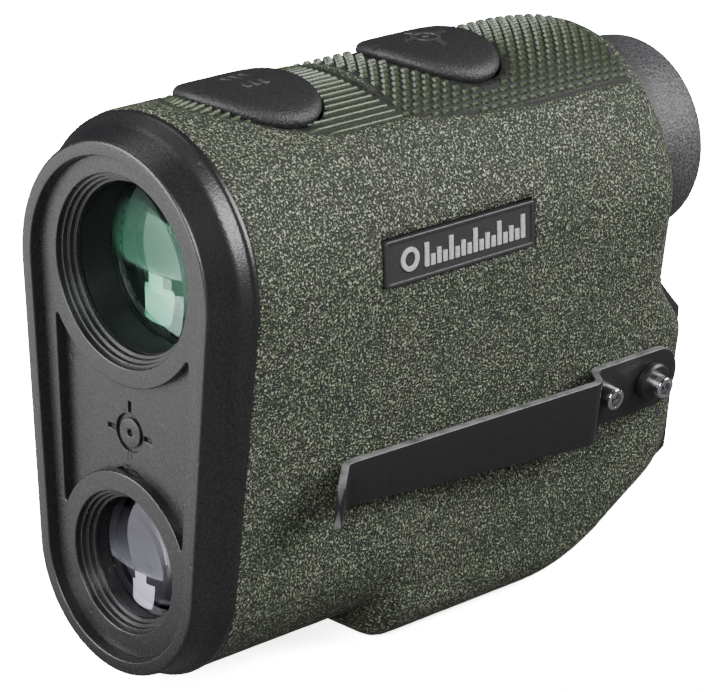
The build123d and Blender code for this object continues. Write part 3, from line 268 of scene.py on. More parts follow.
# Paints a highlight along edges: the stored edge value, broken into patches by noise.
edge_highlight_group, gin, gout = group("painted_edge_highlight", {"Break": 350.0}, ("Mask",))
edge = node(edge_highlight_group, "ShaderNodeAttribute", attribute_name="edge")
breakup = texture(edge_highlight_group, "ShaderNodeTexNoise", gin.outputs["Break"], Detail=2.0)
patchy = spread(edge_highlight_group, breakup.outputs[0], 0.3, 0.6, 0.35, 1.0)
painted_edges = math_node(edge_highlight_group, "MULTIPLY", edge.outputs["Fac"], patchy)
edge_highlight_group.links.new(painted_edges, gout.inputs["Mask"])
print("shared groups:", [g.name for g in bpy.data.node_groups])

# %% Material makers
def blend_colours(tree, mask, low, high):
    """A colour mixed from two fixed colours or sockets by a mask."""
    made = node(tree, "ShaderNodeMix", data_type="RGBA")
    tree.links.new(mask, made.inputs["Factor"])
    for socket, value in ((made.inputs[6], low), (made.inputs[7], high)):
        if isinstance(value, tuple):
            socket.default_value = (*value, 1.0)
        else:
            tree.links.new(value, socket)
    return made.outputs[2]


def complete(tree, surface, output, colour, rough, height=None, depth=0.0, strength=1.0):
    """Joins colour, roughness and a bump of a depth in mm to the surface, and that to the output."""
    tree.links.new(colour, surface.inputs["Base Color"])
    tree.links.new(rough, surface.inputs["Roughness"])
    if height is not None:
        bump = node(tree, "ShaderNodeBump", Strength=strength, Distance=depth * MM)
        tree.links.new(height, bump.inputs["Height"])
        tree.links.new(bump.outputs[0], surface.inputs["Normal"])
    tree.links.new(surface.outputs[0], output.inputs["Surface"])


def moulded(name, base, speck, roughness, depth, scale=2600.0, pits=240.0, worn=None):
    """A moulded surface: grain drives its colour, roughness and bump; a light colour may be painted on stored
    edges as a highlight.
    """
    material, tree, output = shader(name)
    surface = tree.nodes.new("ShaderNodeBsdfPrincipled")
    grain = node(tree, "ShaderNodeGroup", node_tree=specks_group)
    grain.inputs["Scale"].default_value = scale
    grain.inputs["Pits"].default_value = pits
    colour = blend_colours(tree, grain.outputs["Mask"], base, speck)
    if worn:
        edge_light = node(tree, "ShaderNodeGroup", node_tree=edge_highlight_group)
        colour = blend_colours(tree, edge_light.outputs["Mask"], colour, worn)
    rough = spread(tree, grain.outputs["Mask"], 0.0, 1.0, roughness + 0.06, roughness - 0.06)
    complete(tree, surface, output, colour, rough, grain.outputs["Height"], depth)
    return material


def armour_rubber():
    """Pebbled rubber: olive pebbles with painted shade in their hollows and a painted highlight on their
    tips; the grip's floor is plain and painted near black as shade.
    """
    material, tree, output = shader("armour_rubber")
    surface = node(tree, "ShaderNodeBsdfPrincipled", **{"Specular IOR Level": 0.6})
    pebble = node(tree, "ShaderNodeGroup", node_tree=pebble_group)
    pebble.inputs["Scale"].default_value = 2550.0
    pebble.inputs["Stretch"].default_value = 0.45
    grip_floor = node(tree, "ShaderNodeAttribute", attribute_name="grip")
    blotch = pebble.outputs["Blotch"]
    # The near-black colour is painted shade in the hollows between pebbles; the olive is the rubber's own
    # colour.
    dark = blend_colours(tree, blotch, (0.0028, 0.0046, 0.0020), (0.0042, 0.0062, 0.0028))
    olive = blend_colours(tree, blotch, (0.105, 0.140, 0.072), (0.150, 0.178, 0.105))
    colour = blend_colours(tree, pebble.outputs["Mask"], dark, olive)
    # The pale colour on the pebbles' tips is a painted highlight.
    colour = blend_colours(tree, pebble.outputs["PaintedHighlight"], colour, (0.46, 0.50, 0.37))
    # The grip's floor between the ribs and studs is painted near black, a painted shade; it also loses the
    # grain.
    colour = blend_colours(tree, grip_floor.outputs["Fac"], colour, (0.0045, 0.0060, 0.0032))
    rough = spread(tree, pebble.outputs["Mask"], 0.0, 1.0, 0.75, 0.30)
    kept = math_node(tree, "SUBTRACT", 1.0, grip_floor.outputs["Fac"])
    height = math_node(tree, "MULTIPLY", pebble.outputs["Height"], kept)
    complete(tree, surface, output, colour, rough, height, 0.16)
    return material


def machined(name, base, roughness):
    """Turned metal: fine noise varies its polish, and a slight bump breaks its mirror."""
    material, tree, output = shader(name)
    surface = node(tree, "ShaderNodeBsdfPrincipled", Metallic=1.0)
    noise = texture(tree, "ShaderNodeTexNoise", 900.0, Detail=4.0, Roughness=0.7)
    colour = blend_colours(tree, noise.outputs[0], tuple(c * 0.72 for c in base), base)
    rough = spread(tree, noise.outputs[0], 0.3, 0.7, roughness * 0.7, roughness * 1.4)
    complete(tree, surface, output, colour, rough, noise.outputs[0], 0.02, strength=0.25)
    return material


def coated_glass(name, body, film, strength, index=1.52):
    """Lens glass: clear inside, with a thin coating that tints what it mirrors, and a little dust."""
    material, tree, output = shader(name)
    surface = node(tree, "ShaderNodeBsdfPrincipled", IOR=index, **{
        "Transmission Weight": 1.0, "Specular IOR Level": strength, "Specular Tint": (*film, 1.0),
    })
    dust = texture(tree, "ShaderNodeTexNoise", 420.0, Detail=3.0)
    dusty = spread(tree, dust.outputs[0], 0.62, 0.80)
    colour = blend_colours(tree, dusty, body, tuple(c * 0.9 for c in body))
    complete(tree, surface, output, colour, spread(tree, dusty, 0.0, 1.0, 0.01, 0.04))
    return material


print("makers for moulded, armour, machined and glass surfaces")

# %% The palette
# Each row: name, dark colour, speck colour, roughness, bump in mm, and what else it changes.
MOULDED = (
    ("bezel_plastic", (0.006, 0.006, 0.0062), (0.020, 0.020, 0.021), 0.30, 0.011,
     dict(scale=3200.0, pits=300.0)),
    ("button_rubber", (0.005, 0.005, 0.0052), (0.026, 0.026, 0.027), 0.50, 0.05,
     dict(scale=3000.0, pits=150.0)),
    ("eyecup_rubber", (0.014, 0.014, 0.015), (0.10, 0.10, 0.105), 0.48, 0.06,
     dict(scale=2400.0, pits=150.0)),
    # The clip's light edge colour is a painted highlight along the strap's edges.
    ("clip_steel", (0.008, 0.008, 0.009), (0.013, 0.013, 0.014), 0.42, 0.004,
     dict(scale=900.0, pits=170.0, worn=(0.16, 0.16, 0.165))),
    ("badge_metal", (0.018, 0.018, 0.019), (0.030, 0.030, 0.032), 0.40, 0.01,
     dict(pits=120.0)),
    ("seal_rubber", (0.008, 0.008, 0.008), (0.016, 0.016, 0.016), 0.62, 0.02, {}),
    ("housing_plastic", (0.012, 0.012, 0.012), (0.022, 0.022, 0.022), 0.55, 0.03, {}),
    ("eyepiece_plastic", (0.018, 0.018, 0.019), (0.036, 0.036, 0.038), 0.45, 0.03, {}),
    ("cap_plastic", (0.016, 0.016, 0.017), (0.034, 0.034, 0.036), 0.42, 0.02, {}),
    ("chip_plastic", (0.010, 0.010, 0.010), (0.018, 0.018, 0.018), 0.50, 0.01, {}),
    ("board_laminate", (0.010, 0.060, 0.025), (0.016, 0.090, 0.036), 0.35, 0.01, {}),
    ("ribbon_film", (0.30, 0.14, 0.03), (0.42, 0.20, 0.05), 0.35, 0.01, {}),
    ("cell_wrap", (0.030, 0.040, 0.060), (0.040, 0.052, 0.075), 0.30, 0.004, {}),
    ("barrel_aluminium", (0.004, 0.004, 0.0045), (0.010, 0.010, 0.011), 0.45, 0.01, {}),
    ("grip_rubber", (0.026, 0.036, 0.018), (0.070, 0.090, 0.050), 0.34, 0.02, dict(pits=60.0)),
)
finishes = {"armor_rubber": armour_rubber()}
for name, *values, extra in MOULDED:
    finishes[name] = moulded(name, *values, **extra)
for name, colour, roughness in (
    ("screw_chrome", (0.86, 0.86, 0.88), 0.10),
    ("screw_steel", (0.60, 0.60, 0.62), 0.28),
    ("insert_brass", (0.78, 0.58, 0.26), 0.25),
    ("can_steel", (0.62, 0.62, 0.60), 0.30),
    ("contact_steel", (0.70, 0.69, 0.66), 0.22),
    ("tab_steel", (0.30, 0.30, 0.31), 0.34),
):
    finishes[name] = machined(name, colour, roughness)
for name, *values in (
    ("objective_glass", (0.80, 0.96, 0.88), (0.26, 1.0, 0.62), 1.0, 1.62),
    ("receiver_glass", (0.92, 0.92, 1.0), (0.86, 0.84, 1.0), 1.0, 1.90),
    ("eye_glass", (0.90, 0.96, 1.0), (0.45, 0.65, 1.0), 0.9),
    ("plain_glass", (0.92, 0.97, 0.95), (0.60, 0.90, 0.80), 0.6),
):
    finishes[name] = coated_glass(name, *values)
slot_of = {row["node"]: row["material_slot"] for row in frame["record"]["subparts"]}
for name, part in frame["nodes"].items():
    part.data.materials.clear()
    part.data.materials.append(finishes[slot_of[name]])
print(len(finishes), "finishes on", len(slot_of), "nodes")

# %% [markdown]
# ## Turning arrays into pieces
# Every new piece is a grid of points. The helpers number the four corners of each cell, put
# the arrays into a mesh, close its seams and give it its body and a finish, by default its slot's.

# %% Mesh helpers
def cells_of(rows, columns, wrap_rows=False, wrap_columns=False):
    """Corner numbers of each cell of a rows by columns grid; a wrapped side joins its first line."""
    row = np.arange(rows if wrap_rows else rows - 1)
    column = np.arange(columns if wrap_columns else columns - 1)
    row, column = np.meshgrid(row, column, indexing="ij")
    row_next = (row + 1) % rows
    column_next = (column + 1) % columns
    corners = [row * columns + column, row * columns + column_next,
               row_next * columns + column_next, row_next * columns + column]
    return np.stack(corners, -1).reshape(-1, 4)


def dressed(name, mesh, body, slot, replaces, angle, weld, finish):
    """Welds a mesh, turns its faces outwards, and makes it an object with its body and a finish, by default
    its slot's.
    """
    work = bmesh.new()
    work.from_mesh(mesh)
    bmesh.ops.remove_doubles(work, verts=work.verts, dist=weld * MM)
    bmesh.ops.recalc_face_normals(work, faces=work.faces)
    work.to_mesh(mesh)
    work.free()
    mesh.shade_smooth()
    mesh.set_sharp_from_angle(angle=math.radians(angle))
    mesh.materials.append(finishes[finish or slot])
    made = bpy.data.objects.new(name, mesh)
    bpy.context.scene.collection.objects.link(made)
    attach(made, body)
    if replaces:
        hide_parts(*replaces)
    print(name, len(mesh.polygons), "faces")
    return made


def piece(name, points, cells, body, slot, replaces=(), angle=32.0, weld=0.002, finish=None, marks=None):
    """Makes a piece from points in mm and cells; marks are named values, one for each point."""
    mesh = bpy.data.meshes.new(name)
    mesh.from_pydata((np.asarray(points, float).reshape(-1, 3) * MM).tolist(), [], cells.tolist())
    for label, values in (marks or {}).items():
        mesh.attributes.new(label, "FLOAT", "POINT").data.foreach_set("value", np.ravel(values))
    return dressed(name, mesh, body, slot, replaces, angle, weld, finish)


def rounded(corners, radii, steps=4):
    """A polyline with its corners rounded: each corner becomes a short parabola between its legs."""
    corners = np.asarray(corners, float)
    radii = np.broadcast_to(radii, len(corners))
    out = [corners[:1]]
    t = np.linspace(0.0, 1.0, steps + 1)[:, None]
    for place in range(1, len(corners) - 1):
        before, here, after = corners[place - 1], corners[place], corners[place + 1]
        back, ahead = before - here, after - here
        reach_back = min(radii[place], 0.49 * np.linalg.norm(back))
        reach_ahead = min(radii[place], 0.49 * np.linalg.norm(ahead))
        start = here + back / np.linalg.norm(back) * reach_back
        end = here + ahead / np.linalg.norm(ahead) * reach_ahead
        out.append((1 - t) ** 2 * start + 2 * t * (1 - t) * here + t**2 * end)
    out.append(corners[-1:])
    return np.concatenate(out)


def closed_rounded(corners, radii, steps=4):
    """The same for a closed outline: it starts and ends halfway along its first side."""
    corners = np.asarray(corners, float)
    radii = np.broadcast_to(radii, len(corners))
    middle = (corners[0] + corners[1]) / 2
    ring = np.concatenate([[middle], corners[1:], corners[:1], [middle]])
    sizes = np.concatenate([[0.0], radii[1:], radii[:1], [0.0]])
    return rounded(ring, sizes, steps)[:-1]


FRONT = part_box("front_bezel")[0].y / MM
EYE_Z = sum(corner.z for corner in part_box("objective_lens")) / 2 / MM
LASER_Z = sum(corner.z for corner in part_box("receiver_lens")) / 2 / MM
BATTERY_Z = sum(corner.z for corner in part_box("battery_cell")) / 2 / MM


def turned(name, profile, axis_z, body, slot, replaces=(), columns=128, closed=False,
           swell=None, angle=32.0, finish=None):
    """A turned piece about an axis along Y: point = (r sin a, depth, axis + r cos a)."""
    profile = np.asarray(profile, float)
    turn = np.linspace(0.0, 2 * np.pi, columns, endpoint=False)
    depth = np.repeat(profile[:, :1], columns, axis=1)
    radius = np.repeat(profile[:, 1:2], columns, axis=1)
    if swell is not None:
        radius = radius + swell(depth, radius, turn[None, :])
    points = np.stack([radius * np.sin(turn), FRONT + depth, axis_z + radius * np.cos(turn)], -1)
    grid = cells_of(len(profile), columns, wrap_rows=closed, wrap_columns=True)
    return piece(name, points, grid, body, slot, replaces, angle, finish=finish)


print("front plane at", round(FRONT, 2), "axes at", round(EYE_Z, 2), round(LASER_Z, 2), round(BATTERY_Z, 2))

# %% [markdown]
# ## The rubber armour
# The armour is one soft skin over a tapered oval body with a swell underneath. It could be
# sculpted, but its shape is a few simple forms melted together, so the skin is found instead:
# a ray leaves the body's spine for every grid point and walks out until the melted forms'
# distance is zero. Near the back the ray turns from sideways to rearwards, so the same
# grid also closes the back. Grid cells inside the ports and buttons are left out, and the loop
# round each hole is pulled onto its outline.

# %% The body's form
ARMOUR_LOW, ARMOUR_HIGH = (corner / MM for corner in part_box("rubber_armor"))
TOP_R = -ARMOUR_LOW.x
TOP_Z = ARMOUR_HIGH.z - TOP_R
LOW_R = 18.1
LOW_Z = LASER_Z + 0.35
BAND_END = ARMOUR_LOW.y - FRONT
REAR_LOW = ARMOUR_HIGH.y - FRONT
REAR_HIGH = 95.2
SHOULDER_Z, BULGE_Z = EYE_Z - 16.0, EYE_Z - 27.0
SLOPE_DEPTH = 80.0
SLOPE_Z = LASER_Z - 3.6
BELLY_START = 40.0
BELLY_HALF, BELLY_CORNER, BELLY_TOP = 16.0, 9.0, 24.0


def ease(value, low, high):
    """A smooth step from 0 at low to 1 at high."""
    t = np.clip((value - low) / (high - low), 0.0, 1.0)
    return t * t * (3 - 2 * t)


def both(first, second, radius):
    """The overlap of two forms, its edge rounded to a radius."""
    u, v = np.maximum(first + radius, 0.0), np.maximum(second + radius, 0.0)
    return np.minimum(-radius, np.maximum(first, second)) + np.hypot(u, v)


def either(first, second, radius):
    """Two forms joined, the valley between them filled to a radius."""
    u, v = np.maximum(radius - first, 0.0), np.maximum(radius - second, 0.0)
    return np.maximum(radius, np.minimum(first, second)) - np.hypot(u, v)


def block_distance(u, v):
    """Distance outside a block, from the distances outside its two pairs of sides."""
    return np.hypot(np.maximum(u, 0), np.maximum(v, 0)) + np.minimum(np.maximum(u, v), 0)


def body_distance(x, depth, z):
    """Distance outside the bare body: oval and belly, trimmed at the rear, the slope and the floor."""
    rise = TOP_Z - LOW_Z
    lean = (LOW_R - TOP_R) / rise
    upright = math.sqrt(1 - lean**2)
    across, above = np.abs(x), z - LOW_Z
    along = -lean * across + upright * above
    low_round = np.hypot(across, above) - LOW_R
    high_round = np.hypot(across, above - rise) - TOP_R
    side = across * upright + above * lean - LOW_R
    oval = np.where(along < 0, low_round, np.where(along > upright * rise, high_round, side))
    taper = 0.0107 * np.clip(depth - 80.0, 0.0, None) ** 2 * ease(z, EYE_Z - 4.0, EYE_Z + 12.0)
    oval = oval + taper
    box_x = across - (BELLY_HALF - BELLY_CORNER)
    box_z = np.abs(z - BELLY_TOP / 2) - (BELLY_TOP / 2 - BELLY_CORNER)
    belly = both(block_distance(box_x, box_z) - BELLY_CORNER, BELLY_START - depth, 3.0)
    whole = either(oval, belly, 3.0)
    rear = REAR_HIGH + (REAR_LOW - REAR_HIGH) * ease(SHOULDER_Z - z, 0.0, SHOULDER_Z - BULGE_Z)
    rear = rear + 1.2 * ease(z, EYE_Z, TOP_Z + TOP_R)
    whole = both(whole, depth - rear, 7.0)
    run, fall = REAR_LOW - SLOPE_DEPTH, SLOPE_Z
    length = math.hypot(run, fall)
    slope = (depth - SLOPE_DEPTH) * fall / length - z * run / length
    return both(whole, slope, 6.0)


def normal_of(x, depth, z, step=0.05):
    """The body's outward direction, from small differences of its distance."""
    gradient = np.stack([
        body_distance(x + step, depth, z) - body_distance(x - step, depth, z),
        body_distance(x, depth + step, z) - body_distance(x, depth - step, z),
        body_distance(x, depth, z + step) - body_distance(x, depth, z - step),
    ], -1)
    return gradient / np.linalg.norm(gradient, axis=-1, keepdims=True)


def walk_out(start, direction, steps=70):
    """Walks rays from inside the body to its surface, each step as long as the distance left."""
    reach = np.zeros(start.shape[:-1])
    for _ in range(steps):
        here = start + direction * reach[..., None]
        reach = reach - body_distance(here[..., 0], here[..., 1], here[..., 2])
    return start + direction * reach[..., None]


print("rear of the body at", round(REAR_LOW, 2), "mm, belly from", BELLY_START, "mm")

# %% Grip zones
RIB_PITCH = math.radians(3.0)
RIB_LIMIT = math.radians(36.5)
STUD_FRONT, STUD_REAR, STUD_PITCH = 42.8, 88.5, 2.0
GRIP_SINK = 0.28


def rib_front(angle):
    """Where the ribs begin, further back the further they are from the top."""
    return 10.6 + 0.0127 * np.degrees(angle) ** 2


def rib_rear(angle):
    """Where the ribs end and the studs begin."""
    return 39.2 + 0.0029 * np.degrees(angle) ** 2


def stud_limit(depth):
    """The studs' lower edge as an angle from the top."""
    return np.radians(35.5 + 9.5 * (1 - np.exp(-(depth - STUD_FRONT) / 11.0)))


def grip(x, depth, z):
    """1 inside the ribbed and studded grip and 0 outside it, with soft borders."""
    angle = np.abs(np.arctan2(x, z - TOP_Z))
    ribs = ease(depth, rib_front(angle) - 0.5, rib_front(angle) + 1.5)
    ribs = ribs * (1 - ease(depth, rib_rear(angle) + 1.0, rib_rear(angle) + 2.0))
    ribs = ribs * (1 - ease(angle, RIB_LIMIT, RIB_LIMIT + 0.03))
    studs = ease(depth, STUD_FRONT - 1.5, STUD_FRONT) * (1 - ease(depth, STUD_REAR, STUD_REAR + 2.0))
    studs = studs * (1 - ease(angle, stud_limit(depth), stud_limit(depth) + 0.04))
    return np.maximum(ribs, studs)


print("ribs from", rib_front(0.0), "to", rib_rear(0.0), "mm, studs to", STUD_REAR, "mm")

# %% Button outlines
BUTTON_FRONT, BUTTON_REAR = 10.0, 8.4
BUTTON_BOXES = {name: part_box(name) for name in ("menu_button", "measure_button")}
BUTTON_HALF = BUTTON_BOXES["menu_button"][1].x / MM
BUTTON_DEPTHS = {
    name: corners[0].y / MM - FRONT + BUTTON_FRONT for name, corners in BUTTON_BOXES.items()
}
FRONT_FULL, REAR_FULL = 1.8, 2.7


def button_share(x, depth, centre, grow=0.0):
    """How far out a point lies: 1 on the button's outline, a fuller curve behind than in front."""
    ahead = depth < centre
    power = np.where(ahead, FRONT_FULL, REAR_FULL)
    reach = np.where(ahead, BUTTON_FRONT, BUTTON_REAR) + grow
    share = np.abs(x / (BUTTON_HALF + grow)) ** power + np.abs((depth - centre) / reach) ** power
    return share ** (1 / power)


print("buttons centred at", {name: round(depth, 1) for name, depth in BUTTON_DEPTHS.items()})

# %% Holes in the skin
PORT_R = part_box("eyecup")[1].x / MM + 0.3
CAP_PORT_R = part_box("battery_cap")[1].x / MM + 0.6
BUTTON_GAP = 0.3
badge_low, badge_high = (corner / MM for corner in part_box("badge_plate"))
BADGE_DEPTH = (badge_low.y + badge_high.y) / 2 - FRONT
BADGE_Z = (badge_low.z + badge_high.z) / 2
BADGE_LENGTH = badge_high.y - badge_low.y
BADGE_HEIGHT = 6.8
BADGE_GAP = 0.35
FAR = 99.0                 # a distance for points on the wrong side of the body


def hole_distance(x, depth, z):
    """Rough distance outside the nearest hole of the skin, in mm."""
    port = np.hypot(x, z - EYE_Z) - PORT_R
    cap = np.hypot(x, z - BATTERY_Z) - CAP_PORT_R
    behind = depth > STUD_REAR
    port = np.where(behind, port, FAR)
    cap = np.where(depth > REAR_LOW - 9.0, cap, FAR)
    buttons = [
        np.where(z > TOP_Z, (button_share(x, depth, centre, BUTTON_GAP) - 1) * BUTTON_REAR, FAR)
        for centre in BUTTON_DEPTHS.values()
    ]
    flat_y = np.abs(depth - BADGE_DEPTH) - (BADGE_LENGTH / 2 + BADGE_GAP)
    flat_z = np.abs(z - BADGE_Z) - (BADGE_HEIGHT / 2 + BADGE_GAP)
    badge = np.where(x > 0, block_distance(flat_y, flat_z), FAR)
    return np.minimum.reduce([port, cap, *buttons, badge])


print("ports: eyepiece", round(PORT_R, 2), "and cap", round(CAP_PORT_R, 2), "mm in radius")

# %% The skin's grid
TOP_COLUMNS, SIDE_COLUMNS, LOW_COLUMNS = 96, 56, 76
LEAN = math.asin((TOP_R - LOW_R) / (TOP_Z - LOW_Z))


def round_the_oval(top_columns, side_columns, low_columns):
    """For each column: the spine height share (0 low, 1 top) and the outward angle from the top."""
    side = math.pi / 2 + LEAN
    top = np.linspace(-side, side, top_columns, endpoint=False)
    low = np.linspace(side, 2 * math.pi - side, low_columns, endpoint=False)
    down = np.linspace(1.0, 0.0, side_columns, endpoint=False)
    share = np.concatenate([np.ones(top_columns), down, np.zeros(low_columns), 1 - down])
    angle = np.concatenate([top, np.full(side_columns, side), low, np.full(side_columns, -side)])
    return share, angle


share, angle = round_the_oval(TOP_COLUMNS, SIDE_COLUMNS, LOW_COLUMNS)
TURN_DEPTH = 80.0
ROLL = 0.5
WALL = 1.4
LENGTH_ROWS = 96
straight = np.concatenate([
    [BAND_END, BAND_END + 0.12, BAND_END + 0.35], np.linspace(7.5, TURN_DEPTH, LENGTH_ROWS)
])
inset = np.concatenate([[ROLL, 0.2, 0.06], np.zeros(LENGTH_ROWS)])
turn = np.linspace(0.0, math.pi / 2, 60)[1:]
rows = len(straight) + len(turn)
depth0 = np.concatenate([straight, np.full(len(turn), TURN_DEPTH)])
tilt = np.concatenate([np.zeros(len(straight)), turn])
inset = np.concatenate([inset, np.zeros(len(turn))])
start = np.zeros((rows, len(share), 3))
start[..., 1] = depth0[:, None]
start[..., 2] = LOW_Z + (TOP_Z - LOW_Z) * share
outward = np.stack([
    np.sin(angle) * np.cos(tilt)[:, None],
    np.broadcast_to(np.sin(tilt)[:, None], (rows, len(share))),
    np.cos(angle) * np.cos(tilt)[:, None],
], -1)
skin = walk_out(start, outward)
skin = skin - outward * inset[:, None, None]
grid = cells_of(rows, len(share), wrap_columns=True)
flat = skin.reshape(-1, 3)
middle = flat[grid].mean(1)
kept = hole_distance(middle[:, 0], middle[:, 1], middle[:, 2]) > 0
touched = np.zeros(len(flat), int)
np.add.at(touched, grid[~kept].ravel(), 1)
on_kept = np.zeros(len(flat), bool)
on_kept[grid[kept].ravel()] = True
rim = on_kept & (touched > 0)
moved = flat[rim]
step = 0.02
for _ in range(6):
    away = hole_distance(moved[:, 0], moved[:, 1], moved[:, 2])
    slope = np.stack([
        hole_distance(moved[:, 0] + step, moved[:, 1], moved[:, 2]) - away,
        hole_distance(moved[:, 0], moved[:, 1] + step, moved[:, 2]) - away,
        hole_distance(moved[:, 0], moved[:, 1], moved[:, 2] + step) - away,
    ], -1) / step
    size = np.maximum((slope**2).sum(-1), 0.05)
    moved = moved - slope * (away / size)[:, None]
    out = normal_of(moved[:, 0], moved[:, 1], moved[:, 2])
    moved = moved - out * body_distance(moved[:, 0], moved[:, 1], moved[:, 2])[:, None]
flat[rim] = moved
facing = normal_of(flat[:, 0], flat[:, 1], flat[:, 2])
sunk = flat - facing * (GRIP_SINK * grip(flat[:, 0], flat[:, 1], flat[:, 2]))[:, None]
print("skin grid", rows, "by", len(share), "with", int((~kept).sum()), "cells left out")


def to_row(points):
    """Depth behind the front plane becomes Y."""
    return points + np.array([0.0, FRONT, 0.0])


# The grip mark tells the armour finish where the floor is plain and where to paint it near black as shade.
armour = piece("rubber_armor_skin", to_row(sunk), grid[kept], "chassis", "armor_rubber",
               replaces=["rubber_armor"], angle=60.0,
               marks={"grip": ease(grip(flat[:, 0], flat[:, 1], flat[:, 2]), 0.3, 0.9)})
wall = armour.modifiers.new("wall", "SOLIDIFY")
wall.thickness = WALL * MM
wall.offset = -1.0

# %% [markdown]
# ## Ribs and studs
# The grip is moulded into the armour. Its ribs and studs are only half a millimetre high, too
# fine for the skin's own grid, so they are separate shells that stand on its sunken floor. One
# rib is a strip with a rounded section; one stud is a small block with sloped sides, repeated.

# %% Ribs
RIB_HALF, RIB_HEIGHT, RIB_ROOT = 0.36, 0.46, 0.15
rib_angles = np.arange(-12, 13) * RIB_PITCH
along = np.linspace(0.0, 1.0, 110)
across = np.array([-1.0, -0.72, -0.3, 0.3, 0.72, 1.0])
section = np.array([0.0, 0.72, 1.0, 1.0, 0.72, 0.0])
first = rib_front(rib_angles)[:, None]
last = rib_rear(rib_angles)[:, None]
rib_depth = first + (last - first) * along
lift = ease(rib_depth, first, first + 3.0) * (1 - ease(rib_depth, last - 0.6, last))
theta = rib_angles[:, None, None] + across * RIB_HALF / TOP_R
height = -RIB_ROOT + (RIB_HEIGHT + RIB_ROOT) * lift[..., None] * section
radius = TOP_R - GRIP_SINK + height
ribs = np.stack([
    radius * np.sin(theta),
    np.broadcast_to(rib_depth[..., None], radius.shape),
    TOP_Z + radius * np.cos(theta),
], -1)
one = cells_of(len(along), len(across))
count = len(along) * len(across)
rib_cells = (one[None] + (np.arange(len(rib_angles)) * count)[:, None, None]).reshape(-1, 4)
points = ribs.reshape(-1, 3)
middle = points[rib_cells].mean(1)
clear = hole_distance(middle[:, 0], middle[:, 1], middle[:, 2]) > 0.05
piece("rubber_armor_ribs", to_row(points), rib_cells[clear], "chassis", "armor_rubber",
      angle=50.0, weld=0.0, finish="grip_rubber")

# %% Studs
STUD_LONG, STUD_WIDE, STUD_HEIGHT = 1.15, 0.78, 0.50
row_number = np.arange(-16, 17)
column_number = np.arange(0, 24)
row_grid, column_grid = np.meshgrid(row_number, column_number, indexing="ij")
stud_angle = row_grid * RIB_PITCH
stud_depth = STUD_FRONT + 0.6 + column_grid * STUD_PITCH + (row_grid % 2) * STUD_PITCH / 2
inside = (np.abs(stud_angle) < stud_limit(stud_depth)) & (stud_depth < STUD_REAR)
stud_angle, stud_depth = stud_angle[inside], stud_depth[inside]
begin = np.stack([np.zeros_like(stud_depth), stud_depth, np.full_like(stud_depth, TOP_Z)], -1)
way = np.stack([np.sin(stud_angle), np.zeros_like(stud_angle), np.cos(stud_angle)], -1)
foot = walk_out(begin, way)
clear = hole_distance(foot[:, 0], foot[:, 1], foot[:, 2]) > 0.75
foot = foot[clear]
up = normal_of(foot[:, 0], foot[:, 1], foot[:, 2])
fore = np.array([0.0, 1.0, 0.0]) - up * up[:, 1:2]
fore = fore / np.linalg.norm(fore, axis=-1, keepdims=True)
side = np.cross(fore, up)
corner = np.array([(-1, -1), (1, -1), (1, 1), (-1, 1)], float)
levels = np.array([(-0.15, 1.0), (0.62, 0.80), (1.0, 0.52)])
block = np.concatenate([
    np.column_stack([corner[:, 0] * s * STUD_LONG / 2, corner[:, 1] * s * STUD_WIDE / 2,
                     np.full(4, h * STUD_HEIGHT - GRIP_SINK)]) for h, s in levels
])
studs = (foot[:, None] + fore[:, None] * block[:, :1] + side[:, None] * block[:, 1:2]
         + up[:, None] * block[:, 2:])
ring = np.array([[a, (a + 1) % 4, (a + 1) % 4 + 4, a + 4] for a in range(4)])
stud_faces = np.concatenate([ring, ring + 4, [[8, 9, 10, 11]]])
stud_cells = (stud_faces[None] + (np.arange(len(foot)) * len(block))[:, None, None]).reshape(-1, 4)
piece("rubber_armor_studs", to_row(studs.reshape(-1, 3)), stud_cells, "chassis", "armor_rubber",
      angle=40.0, weld=0.0, finish="grip_rubber")
print(len(foot), "studs")

# %% [markdown]
# ## The front bezel
# The bezel is one moulding, but its parts are of different kinds, so each is made its own way:
# the band is a rounded profile carried round the oval, the bores are turned, and the face is a
# filled outline with holes, which is the simple way to a flat sheet with many edges.

# %% The bezel's band
def oval(top_r, low_r, counts=(96, 40, 72)):
    """x and z round a tapered oval for each pair of end radii: two arcs and their shared tangents."""
    top_r = np.atleast_1d(np.asarray(top_r, float))[:, None]
    low_r = np.atleast_1d(np.asarray(low_r, float))[:, None]
    side = np.pi / 2 + np.arcsin((top_r - low_r) / (TOP_Z - LOW_Z))
    over, down, under = (np.linspace(0.0, 1.0, count, endpoint=False) for count in counts)
    turn = np.concatenate([side * (2 * over - 1), side + 0 * down, side + (2 * np.pi - 2 * side) * under,
                           -side + 0 * down], 1)
    share = np.concatenate([1 + 0 * over, 1 - down, 0 * under, down])
    radius = low_r + (top_r - low_r) * share
    return radius * np.sin(turn), LOW_Z + (TOP_Z - LOW_Z) * share + radius * np.cos(turn)


BAND_CORNERS = [
    (7.0, 17.5, 14.4), (7.0, 22.85, 18.25), (6.0, 22.9, 18.35), (4.4, 21.3, 17.3),
    (0.0, 19.8, 16.7), (0.0, 17.7, 14.6), (1.75, 17.5, 14.4),
]
BAND_ROUNDS = [0.1, 0.25, 0.5, 0.7, 0.65, 0.35, 0.1]
band = closed_rounded(BAND_CORNERS, BAND_ROUNDS, steps=6)
x, z = oval(band[:, 1], band[:, 2])
depth = np.broadcast_to(band[:, :1], x.shape)
piece("front_bezel_band", to_row(np.stack([x, depth, z], -1).reshape(-1, 3)),
      cells_of(*x.shape, wrap_rows=True, wrap_columns=True), "chassis", "bezel_plastic",
      replaces=["front_bezel"], angle=50.0)

